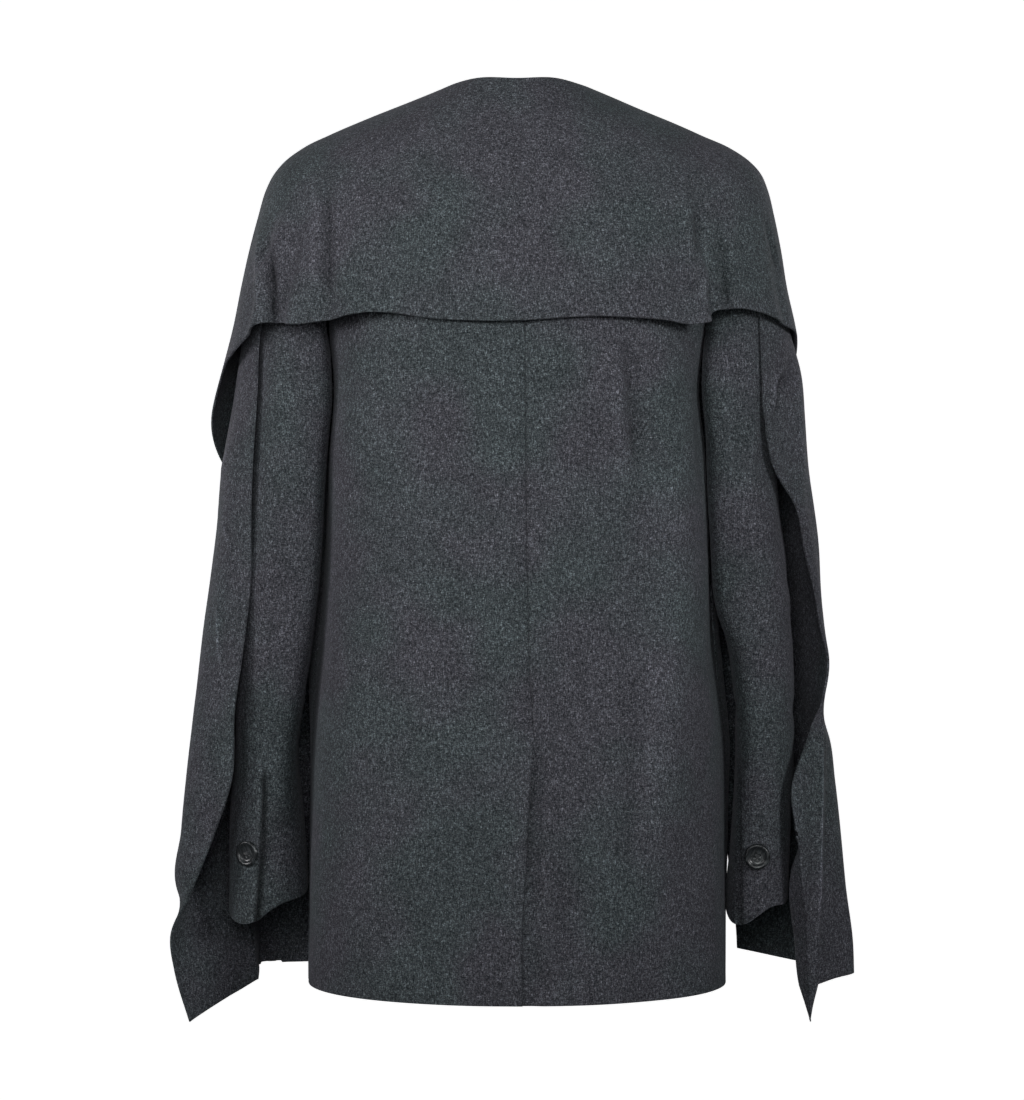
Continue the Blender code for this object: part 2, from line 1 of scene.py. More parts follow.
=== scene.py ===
"""Looks of a dark wool cape blazer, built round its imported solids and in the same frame.

Axes: +X is the wearer's left, +Y the back, -Y the front, +Z up, origin at the base of the neck.
Tables and sizes are in millimetres, and meshes are in metres. A run is a length of cloth down from the neck
or the sleeve's head. An angle goes round the body from the wearer's left by the back, and a turn round a
sleeve from its outer side by its back. The forms are the solids' own on finer grids, let out or taken in
where soft cloth hangs so, with creases, pressed seams, rounded edges and buttonholes added.
"""

import math

import bmesh
import bpy
import numpy as np
from mathutils import Matrix, Vector


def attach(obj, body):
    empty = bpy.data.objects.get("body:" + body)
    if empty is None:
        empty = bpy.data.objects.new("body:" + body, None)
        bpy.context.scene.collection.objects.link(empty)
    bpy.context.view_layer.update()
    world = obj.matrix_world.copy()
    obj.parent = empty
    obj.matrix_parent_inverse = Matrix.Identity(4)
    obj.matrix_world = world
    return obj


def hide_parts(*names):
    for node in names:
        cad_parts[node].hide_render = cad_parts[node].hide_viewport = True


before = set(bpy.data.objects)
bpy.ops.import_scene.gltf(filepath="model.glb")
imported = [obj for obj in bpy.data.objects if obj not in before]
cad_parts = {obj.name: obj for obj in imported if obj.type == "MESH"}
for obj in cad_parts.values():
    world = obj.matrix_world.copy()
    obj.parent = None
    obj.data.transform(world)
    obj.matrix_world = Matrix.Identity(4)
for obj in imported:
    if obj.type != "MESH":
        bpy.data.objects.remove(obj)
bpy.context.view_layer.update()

MM = 0.001
COARSE = 1.0
CELL_ACROSS = 2.4 * COARSE        # size of a mesh cell on the cloth
CELL_DOWN = 4.2 * COARSE
FRONT_CELL_ACROSS = 3.2 * COARSE
PANEL_CELL_ACROSS = 1.7 * COARSE

# ---------------------------------------------------------------- driving sizes

CLOTH = 2.0                 # thickness of the wool cloth
EDGE_ROUND = 0.7            # how far a cut or turned edge is rounded
SLEEVE_EDGE_ROUND = 0.12
GROOVE_DEPTH = 0.5          # a pressed seam sinks this far,
GROOVE_FLAT = 1.1           # is flat up to here from its stitches
GROOVE_WIDTH = 1.7          # and rises over about this much
SEAM_PAINTED_SHADE = 0.45            # how dark the painted shade beside the centre seam is, out of 1
SEAM_PAINTED_SHADE_WIDTH = 1.4
NECK_HUMP = 1.7             # rise of the back neckline beside its middle
NECK_HUMP_RUN = 22.0
FULLNESS_ANGLE = -15.0      # where the body's fronts stand out most, from the side towards the front
FULLNESS_SPREAD = 16.0
SLEEVE_FLATNESS = 1.2       # how much squarer the sleeve is at its inner back than a circle
LAP_DROP = 3.4              # how far the under layer of a lap sinks
NECK_HALF = 59.0
BREAK_RUN = 395.0           # where the two front edges have crossed
FRONT_LAP = 18.0
FRONT_LAP_RAMP = 14.0
VENT_TOP_RUN = 575.0        # top of the back vent
VENT_UNDERLAP = 34.0
ARMHOLE_TOP_RUN = 135.0
ARMHOLE_END_RUN = 270.0
ARMHOLE_MIDDLE = (ARMHOLE_TOP_RUN + ARMHOLE_END_RUN) / 2
ARMHOLE_HALF = (ARMHOLE_END_RUN - ARMHOLE_TOP_RUN) / 2
ARMHOLE_GAP = 2.2
ARMHOLE_ANGLE = 33.0
HEM_RUN = 785.0
CUFF_BUTTONS = (("left", 1, 559, 66), ("right", -1, 559, 102))     # side, run, turn
FRONT_BUTTONS = (("upper", 425), ("lower", 525))                   # run
# Radius of the cloth under a button, lift of the button off the cloth's form, degrees from its middle to the
# start of its buttonhole, and lift of the buttonhole's thread.
SEWN_ON = {"cuff": (46.0, 0.6, 9.0, 0.25), "front": (170.0, 1.4, 1.5, 0.3)}
BUTTON_RADIUS = 10.6
BUTTON_RINGS = 64           # rings of a button's mesh, of which the first ones make its front
BUTTON_FRONT_RINGS = 26
BUTTON_AROUND = 72
BUTTON_THREAD = 0.42        # radius of the thread
# Share of the radius and height, over the front of a button and round to its back.
BUTTON_PROFILE = ((0.0, 2.05), (0.25, 2.05), (0.50, 2.15), (0.62, 2.6), (0.72, 3.3), (0.80, 3.58), (0.87, 3.55),
                  (0.94, 3.1), (0.985, 2.5), (1.0, 1.9), (0.985, 1.3), (0.93, 0.7), (0.80, 0.25), (0.55, 0.0),
                  (0.0, 0.0))
HOLE_PLACE = 0.17           # a button's holes, as shares of its radius
HOLE_WIDTH = 0.055
HOLE_DEPTH = 1.5
BUTTONHOLE_LENGTH = 19.0
BUTTONHOLE_THREAD = 0.30
STITCH_PITCH = 0.75
STITCH_LENGTH = 1.5
TURN_OF_RADIUS = 57.3       # degrees of turn for a length of one radius

# ---------------------------------------------------------------- tables of the forms

# run, half-width, back, front, z at the side, z at the back, z at the front, squareness
BODY_RINGS = (
    (0, 59, 60, 60, -2.8, 2.4, -12, 2.1),
    (40, 97, 76, 76, -18.6, -29, -43, 2.2),
    (80, 134, 90, 90, -34.5, -59, -73, 2.3),
    (135, 184, 105, 102, -62.5, -101, -113, 2.4),
    (175, 182, 113, 110, -101, -136, -146, 2.45),
    (225, 165, 118.5, 118, -155, -178, -182, 2.6),
    (270, 151.5, 121, 122, -212, -216, -218, 2.9),
    (370, 153.5, 119, 124, -312, -316, -316, 3.0),
    (455, 155, 118, 122, -397, -401, -400, 3.0),
    (525, 158, 122, 124, -467, -471, -469, 3.0),
    (585, 163.5, 127, 127, -527, -532, -529, 2.8),
    (685, 167.5, 132, 130, -627, -632, -628, 2.6),
    (785, 170.5, 135, 132, -727, -733, -728, 2.5),
)
CENTRE_SEAM = ((0, -5), (300, -6.5), (455, -8), (540, -10.5), (575, -13))
VENT_EDGE = ((575, -13), (620, -10), (680, -7), (725, -4.5), (785, -4.5))

# How far the sides of the fronts stand out past the back, by run.
FULLNESS_LEFT = ((270, 0), (320, 1.5), (370, 4), (455, 10), (525, 15), (585, 9), (685, 4), (785, 0))
FULLNESS_RIGHT = ((270, 0), (320, 1.5), (370, 3), (455, 7), (525, 13), (585, 14), (640, 9.5), (685, 6.5),
                  (720, 3.5), (785, 0))

# run, outer x and z, inner x and z, middle y, depth, drop of the back edge, turn of the back seam
SLEEVE_LEFT = (
    (28, 197.5, -86, 154, -220, 0, 66, 0, 86),
    (62, 205, -118, 155.5, -236, 0, 65, 0, 86),
    (105, 210.5, -158, 156.5, -256, 1, 64, 0, 87),
    (155, 214, -207, 157.5, -288, 2, 62, 0, 88),
    (215, 218, -267, 159.5, -326, 3, 59, 0, 89),
    (280, 223, -332, 161.5, -369, 3, 56, 0, 90),
    (348, 229, -400, 164.5, -418, 1, 52, 1, 90),
    (418, 231.5, -470, 170.5, -476, -3, 48, 3, 91),
    (485, 232, -537, 178.5, -537, -8, 45, 7, 91),
    (548, 235.5, -600, 175, -594, -10, 43, 13, 87),
    (616, 237, -668, 171, -648, -11, 42, 20, 76),
)
SLEEVE_RIGHT = (
    (28, 197, -86, 154, -220, 0, 66, 0, 92),
    (62, 203, -118, 155.5, -236, 0, 65, 0, 94),
    (105, 207, -158, 156.5, -256, 1, 64, 0, 97),
    (155, 208.5, -207, 157.5, -288, 2, 62, 0, 101),
    (215, 209, -267, 159, -326, 3, 59, 0, 106),
    (280, 214, -332, 160.5, -369, 3, 56, 0, 113),
    (348, 221.5, -400, 163.5, -418, 1, 52, 1, 122),
    (418, 226.5, -470, 175.5, -470, -3, 48, 3, 133),
    (485, 227.5, -537, 179, -537, -8, 45, 7, 142),
    (548, 224, -600, 176, -600, -10, 43, 13, 132),
    (616, 222.5, -656, 170.5, -664, -11, 42, 20, 118),
)
# How far the inner back corner of a sleeve leans towards the body, by run.
SLEEVE_LEAN = ((0, 0), (28, 7), (62, 10), (105, 11), (155, 9.3), (215, 8.6), (280, 7.8), (348, 6.4), (418, 3),
               (485, 0), (616, 0))
SLEEVE_LEAN_TURN = 134.0
SLEEVE_LEAN_SPREAD = 28.0
SLEEVE_SEAM_FRONT = -128.0    # turn of the front seam
SLEEVE_VENT_RUN = 487.0       # top of the cuff's vent
SLEEVE_VENT_LAP = 14.0        # how far the under sleeve reaches below the upper one, in degrees
SLEEVE_VENT_STEP = 5.0        # degrees in one step away from the seam
# By side: how far the lap sinks, and in how many steps it is back up.
SLEEVE_VENT_SINK = {1: (3.4, 2.6), -1: (5.2, 3.4)}
# By side: turn at which the cuff's hem is cut up most, and how far.
CUFF_RISE = {1: (115.0, 11.5), -1: (70.0, 12.0)}
CUFF_RISE_SPREAD = 36.0
CUFF_RISE_RUN = 520.0
CUFF_RISE_LENGTH = 96.0

# run, left and right half-width, back, front, z at the side, back and front, squareness
CAPELET_RINGS = (
    (0, 59, 59.9, 63, 63, 0.8, 3.2, -9, 2.1),
    (30, 87.7, 87, 78, 78, -10.7, -18, -31, 2.2),
    (65, 121.4, 119.5, 93, 92, -23.8, -46, -57, 2.3),
    (100, 153.3, 150.5, 105, 103, -36.9, -76, -85, 2.35),
    (128, 175.5, 174.5, 112, 110.5, -47.6, -100, -107, 2.4),
    (143, 188.6, 188, 115.5, 114.5, -57, -113, -119, 2.4),
    (156, 197.6, 197.6, 118, 117.5, -67, -124, -130, 2.4),
    (173, 205, 204.3, 120.5, 120.5, -81, -138, -144, 2.4),
    (197, 211.6, 210.4, 123, 124.5, -104, -157, -163, 2.4),
    (225, 218.1, 215.6, 125.5, 129, -130, -178, -187, 2.4),
    (257, 224.7, 220.4, 128, 132, -160.7, -196, -215, 2.4),
    (290, 231.2, 227, 130.5, 135, -192, -214, -243, 2.4),
    (325, 240, 231.5, 133, 138, -225, -236, -275, 2.4),
    (365, 251.5, 234, 135.5, 141, -267, -270, -312, 2.4),
    (412, 253, 236, 137, 143, -314, -310, -357, 2.4),
)
CAPELET_LENGTH = (
    (-58, 382), (-42, 400), (-25, 404), (-15, 389), (-5, 366), (5, 334), (20, 313), (26, 301),
    (32, 287), (45, 281), (51, 273), (60, 258), (75, 258), (90, 256), (105, 254), (120, 268),
    (127, 277), (130, 276), (134, 266), (139, 267), (145, 273), (152, 281), (160, 290), (180, 304),
    (192, 322), (204, 346), (218, 372), (238, 381),
)
CAPELET_FRONT_LEFT = -58.0
CAPELET_FRONT_RIGHT = 238.0
CAPELET_FRONT_REACH = ((0, 0.06), (40, 0.26), (100, 0.55), (200, 0.8), (300, 0.94), (382, 1.0))
CAPELET_SHOULDER_LINE = 4.0
CAPELET_FOLD_GROWTH = 110.0    # a fold deepens over this run
# Angle of a fold at its top and at the hem, run where it starts, half-width in degrees, depth.
CAPELET_FOLDS = (
    (39, 37.0, 165, 2.4, -8),
    (33, 31, 140, 2.6, 6),
    (52, 50, 90, 3.4, -5),
    (127, 125.5, 110, 2.6, -5),
    (130.5, 129.5, 130, 2.0, 5),
    (134.5, 133, 125, 2.8, -9),
    (157, 159, 180, 3.5, -3),
    (-30, -32, 190, 6.0, -3),
    (212, 214, 190, 6.0, -3),
)

# z, then x and y at the rear edge, rear, outer, front outer, front and front edge
PANEL_LEFT = (
    (-205, (208, 52), (220, 30), (225, 2), (220, -37), (203, -64), (176, -72)),
    (-250, (210.6, 53), (226, 29), (231.5, 1), (226, -40), (207, -68), (170, -78)),
    (-312, (214.4, 52), (234.5, 28), (241.5, -2), (233, -45), (210, -73), (158, -86)),
    (-357, (215.4, 50), (237, 28), (245, -2), (236, -47), (210, -77), (155, -90)),
    (-392, (215.4, 49), (240, 28), (249.3, -2), (239, -49), (211, -80), (155, -92)),
    (-453, (221.5, 47), (247, 27), (257.5, -3), (245, -50), (212, -83), (160, -95)),
    (-505, (228.4, 45), (254, 25), (263.8, -4), (249, -52), (213, -85), (168, -96)),
    (-560, (230.5, 43), (259.5, 25), (269.9, -4), (252, -52), (213, -86), (172, -96)),
    (-604, (245, 38), (265.5, 22), (274, -4), (252, -50), (213.5, -86), (172, -97)),
    (-652, (265.5, 26), (276, 10), (276.5, -10), (245, -44), (216, -86), (172, -98)),
    (-690, (284, 4), (272, -14), (250, -30), (221, -46), (217, -85), (172, -99)),
    (-720, (280.5, 2), (266, -14), (245, -29), (217, -44), (217.5, -85), (172, -100)),
)
PANEL_LEFT_HEM = (
    (269, 0, -762), (256, -14, -754), (238, -28, -744), (216, -43, -732), (218, -85, -719), (172, -100, -711),
)
PANEL_RIGHT = (
    (-205, (197, 60), (217, 33), (225, 6), (215, -37), (197, -64), (176, -72)),
    (-230, (198, 60), (220, 33), (230.4, 6), (218, -38), (199, -67), (175, -76)),
    (-270, (199.5, 59), (224, 33), (234.5, 4), (221, -42), (201, -71), (174, -79)),
    (-308, (207.5, 56), (227, 32), (237.8, 2), (224, -46), (203, -74), (166, -84)),
    (-340, (226, 42), (236, 26), (241.6, 0), (228, -48), (204, -76), (160, -87)),
    (-385, (236, 34), (243, 20), (247.2, -4), (232, -50), (205, -78), (156, -89)),
    (-432, (248, 18), (251.5, 4), (249, -18), (233, -54), (206, -80), (156, -91)),
    (-464, (255.6, 4), (253, -12), (247, -28), (232, -56), (206, -81), (158, -92)),
    (-496, (251, 8), (250, -9), (245, -27), (232, -55), (207, -82), (162, -92)),
    (-530, (237, 30), (252, 16), (256.5, -4), (242, -50), (210, -84), (166, -93)),
    (-565, (223.5, 42), (249, 30), (260.5, -2), (247, -48), (213, -84), (169, -93)),
    (-604, (226.5, 42), (247.5, 30), (264.5, -2), (250, -47), (215, -84), (174, -93)),
    (-650, (231.5, 38), (244, 29), (269.8, -2), (253, -46), (217, -83), (180, -94)),
    (-692, (235, 34), (243.5, 27), (275, -2), (255, -46), (219, -83), (185, -95)),
)
PANEL_RIGHT_HEM = (
    (237.5, 32, -758), (244.4, 27, -728), (276, -2, -722), (255, -46, -721), (219, -83, -717), (186, -95, -711),
)
# The rear edge of the right panel rolls in near the hem: z, then x and y of the rolled edge.
PANEL_ROLL = ((-604, 226, 40), (-628, 223.5, 28), (-650, 221, 17), (-692, 225, 14), (-728, 229, 15),
              (-758, 237, 28))
# The top of a panel lies off the sleeve's form, at these runs and turns of the sleeve.
PANEL_TOP_SLEEVE_RUNS = (10.0, 20.0, 30.0, 42.0, 58.0, 80.0)
PANEL_TOP_KEYS = (0.0, 10.0, 20.0, 32.0, 48.0, 72.0)
PANEL_TOP_ANGLES = (66, 38, 6, -34, -66, -88)
PANEL_STAND_OFF = 4.0
PANEL_KEY_ORIGIN = 65.0        # a row at z has the key -z less this
PANEL_HEM_KEY = 34.0
PANEL_FOLDS = {1: (560, 3.0), -1: (420, 1.0)}   # by side: key where a sharp fold starts, and its column

# ---------------------------------------------------------------- creases

THIN_RIDGE_HIGHLIGHT_WIDTH = 2.4           # ridges up to this half-width get a thin painted highlight along their crest

# Soft troughs (negative depth) and ridges (positive), each a line in one plane, "xz" seen from the back
# or front and "yz" seen from the side: plane, points, half-width on its two sides, depth.
# Each trough is also painted darker and each ridge paler along its line, as painted shade and highlight.
CREASES = {
    "back": (
        ("xz", ((60, -232), (56, -290), (50, -360)), 26, 26, -1.2),
        ("xz", ((130, -330), (118, -430), (112, -520)), 22, 30, -1.6),
        ("xz", ((40, -560), (52, -640), (70, -728)), 24, 34, -1.5),
        ("xz", ((-87, -205), (-93, -262), (-96, -322)), 6, 6, -6.0),
        ("xz", ((-76, -205), (-81, -270), (-86, -340)), 7, 7, 1.6),
        ("xz", ((-126, -240), (-127, -400), (-118, -520), (-98, -680)), 18, 18, 7.5),
        ("xz", ((-98, -470), (-92, -560), (-84, -660)), 6, 6, -2.4),
        ("xz", ((-34, -600), (-40, -660), (-48, -726)), 8, 8, -2.6),
        ("xz", ((-60, -420), (-48, -520), (-38, -620)), 26, 26, -2.4),
        ("xz", ((-14, -688), (-20, -706), (-31, -728)), 4, 6, -2.2),
        ("xz", ((-143, -214), (-145, -270), (-147, -340)), 4, 5, -2.0),
    ),
    "front_left": (
        ("xz", ((52, -470), (84, -520), (126, -548)), 16, 22, -1.8),
        ("xz", ((140, -300), (118, -390), (108, -470)), 20, 24, -1.6),
        ("xz", ((60, -600), (66, -660), (70, -722)), 22, 20, 1.6),
    ),
    "front_right": (
        ("xz", ((-48, -455), (-86, -492), (-130, -505)), 14, 20, -1.9),
        ("xz", ((-50, -560), (-60, -640), (-64, -722)), 20, 24, 1.8),
        ("xz", ((-142, -280), (-122, -370), (-112, -440)), 18, 22, -1.4),
    ),
    "sleeve_left": (
        ("xz", ((222, -300), (212, -352), (206, -410)), 7, 10, -1.6),
        ("xz", ((226, -470), (216, -505), (200, -520)), 8, 9, -1.3),
        ("yz", ((-40, -380), (-6, -410), (24, -418)), 9, 12, -2.0),
        ("yz", ((-36, -470), (0, -486), (26, -484)), 8, 11, -1.6),
        ("xz", ((196, -300), (186, -350), (182, -420)), 9, 8, -1.5),
        ("xz", ((184, -455), (194, -478), (206, -492)), 6, 8, -1.3),
        ("xz", ((182, -590), (190, -610), (202, -622)), 6, 8, -1.2),
    ),
    "sleeve_right": (
        ("xz", ((-147, -196), (-160, -197), (-174, -199)), 2.2, 2.2, 1.6),
        ("xz", ((-206, -236), (-198, -300), (-192, -360)), 8, 9, -1.5),
        ("xz", ((-224, -420), (-212, -452), (-196, -470)), 8, 9, -1.2),
        ("yz", ((-40, -372), (-4, -398), (26, -402)), 9, 12, -1.9),
        ("yz", ((-34, -492), (4, -508), (24, -500)), 8, 10, -1.5),
        ("xz", ((-168, -330), (-174, -400), (-182, -460)), 7, 8, -1.4),
    ),
    "cape_panel_left": (
        ("xz", ((232, -288), (237, -300), (241, -314)), 1.6, 2.0, 1.3),
        ("xz", ((241.5, -343), (236, -364), (226.8, -382)), 1.6, 2.0, 1.4),
        ("xz", ((239.5, -350), (232, -368), (224, -384)), 3.0, 3.5, -1.3),
        ("xz", ((243, -414), (242.4, -452), (238.3, -478)), 1.6, 2.2, 1.6),
        ("xz", ((239.5, -418), (238.5, -452), (234, -478)), 3.0, 3.5, -1.2),
        ("yz", ((-58, -300), (-40, -420), (-24, -560)), 16, 22, -2.6),
        ("yz", ((-24, -250), (-12, -380), (-4, -500)), 12, 18, 2.0),
        ("yz", ((-66, -480), (-58, -600), (-54, -715)), 12, 16, 2.2),
    ),
    "cape_panel_right": (
        ("xz", ((-249, -494), (-247.5, -536), (-246, -600), (-244.5, -650), (-242.5, -722)),
         1.7, 1.7, 3.0),
        ("xz", ((-254, -505), (-252.5, -560), (-251, -640)), 4.5, 4.5, -2.0),
        ("xz", ((-241, -520), (-239, -600), (-238, -680)), 4.5, 4.5, -1.6),
        ("xz", ((-216.5, -226), (-209, -236), (-205, -245), (-207, -253), (-205, -262), (-199.6, -274)),
         1.8, 1.8, 3.4),
        ("xz", ((-222, -228), (-214.5, -240), (-211.5, -254), (-206, -270)), 3.5, 3.5, -4.5),
        ("xz", ((-226, -212), (-228, -260), (-232, -330)), 5.0, 5.0, 3.0),
        ("yz", ((-60, -290), (-44, -400), (-30, -520)), 16, 20, -2.4),
        ("yz", ((-30, -560), (-34, -640), (-38, -716)), 12, 15, 2.0),
        ("yz", ((-70, -450), (-62, -560), (-60, -700)), 12, 16, -2.0),
    ),
    "capelet": (
        ("xz", ((199, -130), (196, -150), (194, -176), (193, -200)), 3.2, 3.2, -6.5),
        ("xz", ((208, -120), (206.5, -150), (204.5, -190)), 3.4, 3.4, 4.2),
        ("xz", ((152, -72), (150, -120), (149.5, -190)), 4.2, 4.2, -4.6),
        ("xz", ((160, -84), (160, -130), (160, -180)), 5.0, 5.0, 1.6),
        ("xz", ((-143, -98), (-144, -125), (-143, -160)), 3.6, 3.6, -3.8),
        ("xz", ((-151, -116), (-149, -150), (-145, -200)), 3.0, 3.0, 3.6),
        ("xz", ((-160, -112), (-164, -150), (-167, -196)), 4.6, 4.6, -6.0),
        ("xz", ((-199, -110), (-206, -130), (-212, -154)), 2.4, 2.4, -2.4),
        ("xz", ((60, -60), (66, -120), (70, -190)), 24, 26, 1.6),
        ("xz", ((-60, -56), (-64, -120), (-66, -190)), 24, 26, 1.4),
        ("xz", ((104, -76), (108, -130), (110, -190)), 16, 18, -1.2),
        ("xz", ((-112, -76), (-114, -130), (-116, -190)), 16, 14, -1.2),
    ),
}

# Slow unevenness of hung cloth: amplitude, and the size of a swell across and down.
SWELL = {"back": (0.45, 55, 120), "front": (0.6, 60, 110), "sleeve": (0.55, 38, 80),
         "panel": (0.8, 42, 110), "capelet": (0.5, 60, 70)}


# ---------------------------------------------------------------- curves and surfaces

def through(keys, rows, at):
    """Smooth curve through rows placed at rising keys, read at the values in at."""
    keys = np.asarray(keys, float)
    rows = np.asarray(rows, float)
    at = np.atleast_1d(np.asarray(at, float))
    at = np.clip(at, keys[0], keys[-1])
    slopes = np.gradient(rows, keys, axis=0)
    first = np.clip(np.searchsorted(keys, at, side="right") - 1, 0, len(keys) - 2)
    return hermite(keys, rows, slopes, first, at)


def hermite(keys, rows, slopes, first, at, each=None):
    """Cubic between two rows; with each, every place has rows of its own, along the second axis."""
    width = keys[first + 1] - keys[first]
    s = (at - keys[first]) / width
    shape = (-1,) + (1,) * (rows.ndim - (1 if each is None else 2))
    s = s.reshape(shape)
    width = width.reshape(shape)
    if each is None:
        low, high, slope_low, slope_high = rows[first], rows[first + 1], slopes[first], slopes[first + 1]
    else:
        low, high = rows[first, each], rows[first + 1, each]
        slope_low, slope_high = slopes[first, each], slopes[first + 1, each]
    start = (1 + 2 * s) * (1 - s) ** 2 * low + s * (1 - s) ** 2 * width * slope_low
    end = s ** 2 * (3 - 2 * s) * high + s ** 2 * (s - 1) * width * slope_high
    return start + end


def along(pairs, at):
    """Values of a two-column table, smooth between its rows."""
    keys, values = zip(*pairs)
    return through(keys, values, at)


def columns_at(table, run):
    """The columns of a table of rings, smooth between its rows, at these runs."""
    rings = np.array(table, float)
    return through(rings[:, 0], rings, run).T


def between(low, high, column):
    """Grid of values from low to high: a row for each of their values and a column for each share."""
    return low[:, None] + (high - low)[:, None] * column[None]


def ease(value):
    """Smooth step from 0 to 1."""
    value = np.clip(value, 0.0, 1.0)
    return value * value * (3 - 2 * value)


def ring_point(angle, half_width, size):
    """Points of rounded rings: size has back, front, z_side, z_back, z_front and square."""
    back, front, z_side, z_back, z_front, square = size
    c = np.cos(np.radians(angle))
    s = np.sin(np.radians(angle))
    reach = (np.abs(c) ** square + np.abs(s) ** square) ** (-1 / square)
    depth = np.where(s > 0, back, front)
    z = z_side + (np.where(s > 0, z_back, z_front) - z_side) * s * s
    return np.stack((half_width * reach * c, depth * reach * s, z), -1)


def body_point(angle, run):
    """Points of the body's outer face."""
    angle, run = np.broadcast_arrays(np.asarray(angle, float), np.asarray(run, float))
    row = columns_at(BODY_RINGS, run.ravel())
    turn = angle.ravel()
    point = ring_point(turn, row[1], row[2:8])
    left = np.cos(np.radians(turn)) > 0
    from_side = np.where(left, turn, 180 - turn)
    from_side = (from_side + 180) % 360 - 180
    full = np.where(left, along(FULLNESS_LEFT, run.ravel()), -along(FULLNESS_RIGHT, run.ravel()))
    point[:, 0] += full * np.exp(-((from_side - FULLNESS_ANGLE) / FULLNESS_SPREAD) ** 2)
    return point.reshape(angle.shape + (3,))


def body_angle(x, run, front=False):
    """Angles round the body at which its outer face has these x."""
    row = columns_at(BODY_RINGS, run)
    share = np.clip(x / row[1], -1.0, 1.0)
    depth = (1 - np.abs(share) ** row[7]) ** (1 / row[7])
    angle = np.degrees(np.arctan2(depth, share))
    return -angle if front else angle


def capelet_point(angle, run):
    """Points of the capelet's outer face, with its soft folds."""
    row = columns_at(CAPELET_RINGS, run.ravel())
    turn = angle.ravel()
    c = np.cos(np.radians(turn))
    s = np.sin(np.radians(turn))
    point = ring_point(turn, np.where(c > 0, row[1], row[2]), row[3:9])
    # 9.5 makes the hump 1 at its highest, 30 degrees from the back
    hump = np.where(s > 0, 9.5 * s ** 6 * c ** 2, 0) * np.exp(-(run.ravel() / NECK_HUMP_RUN) ** 2)
    point[:, 2] += NECK_HUMP * hump
    outward = np.stack((c, s, np.zeros_like(c)), -1)
    for top_angle, hem_angle, start, spread, depth in CAPELET_FOLDS:
        share = ease((run.ravel() - start) / CAPELET_FOLD_GROWTH)
        centre = top_angle + (hem_angle - top_angle) * share
        swing = depth * share * np.exp(-((turn - centre) / spread) ** 2)
        point = point + outward * swing[:, None]
    return point.reshape(angle.shape + (3,))


def sleeve_point(turn, run, side):
    """Points of the sleeve's outer face: turn 0 is its outer side, 90 its back."""
    turn, run = np.broadcast_arrays(np.asarray(turn, float), np.asarray(run, float))
    shape = turn.shape
    turn, run = turn.ravel(), run.ravel()
    table = np.array(SLEEVE_LEFT if side > 0 else SLEEVE_RIGHT, float)
    c = np.cos(np.radians(turn))
    s = np.sin(np.radians(turn))
    armhole = body_point(ARMHOLE_ANGLE * s, ARMHOLE_MIDDLE - ARMHOLE_HALF * c)
    lines = [armhole + np.array((ARMHOLE_GAP, 0, 0))]
    turned = (turn + 180) % 360
    flat = ease((turned - 250) / 50.0) * ease((400 - np.where(turned < 180, turned + 360, turned)) / 50.0)
    square = 2 + SLEEVE_FLATNESS * flat
    reach = (np.abs(c) ** square + np.abs(s) ** square) ** (-1 / square)
    for key, outer_x, outer_z, inner_x, inner_z, y_mid, depth, drop, _ in table:
        grown = 1 + (reach - 1) * min(1.0, key / 105.0)
        x = (outer_x + inner_x) / 2 + (outer_x - inner_x) / 2 * c * grown
        z = (outer_z + inner_z) / 2 + (outer_z - inner_z) / 2 * c * grown - drop * s * grown
        lines.append(np.stack((x, y_mid + depth * s * grown, z), -1))
    keys = np.concatenate(((0,), table[:, 0]))
    rows = np.array(lines)
    slopes = np.gradient(rows, keys, axis=0)
    first = np.clip(np.searchsorted(keys, run, side="right") - 1, 0, len(keys) - 2)
    point = hermite(keys, rows, slopes, first, run, each=np.arange(len(run)))
    from_corner = (turn - SLEEVE_LEAN_TURN + 180) % 360 - 180
    point[:, 0] -= along(SLEEVE_LEAN, run) * np.exp(-(from_corner / SLEEVE_LEAN_SPREAD) ** 2)
    middle, rise = CUFF_RISE[side]
    from_rise = (turn - middle + 180) % 360 - 180
    low = ease((run - CUFF_RISE_RUN) / CUFF_RISE_LENGTH) ** 2
    point[:, 2] += rise * np.exp(-(from_rise / CUFF_RISE_SPREAD) ** 2) * low
    return (point * np.array((side, 1, 1))).reshape(shape + (3,))


def sleeve_seam(run, side):
    """Turn of the sleeve's back seam."""
    table = SLEEVE_LEFT if side > 0 else SLEEVE_RIGHT
    return along([(row[0], row[8]) for row in table], run)


def normal_of(surface, a, b, step=0.5):
    """Outward direction of a surface at (a, b)."""
    across = surface(a + step, b) - surface(a - step, b)
    down = surface(a, b + step) - surface(a, b - step)
    normal = np.cross(down, across)
    return normal / np.linalg.norm(normal, axis=-1, keepdims=True)


# ---------------------------------------------------------------- relief

def grid_normals(grid, outward):
    """Normals of a grid of points; outward is 1 or -1 to make them point out of the cloth."""
    down = np.gradient(grid, axis=0)
    across = np.gradient(grid, axis=1)
    normal = np.cross(down, across) * outward
    return normal / np.maximum(np.linalg.norm(normal, axis=-1, keepdims=True), 1e-9)


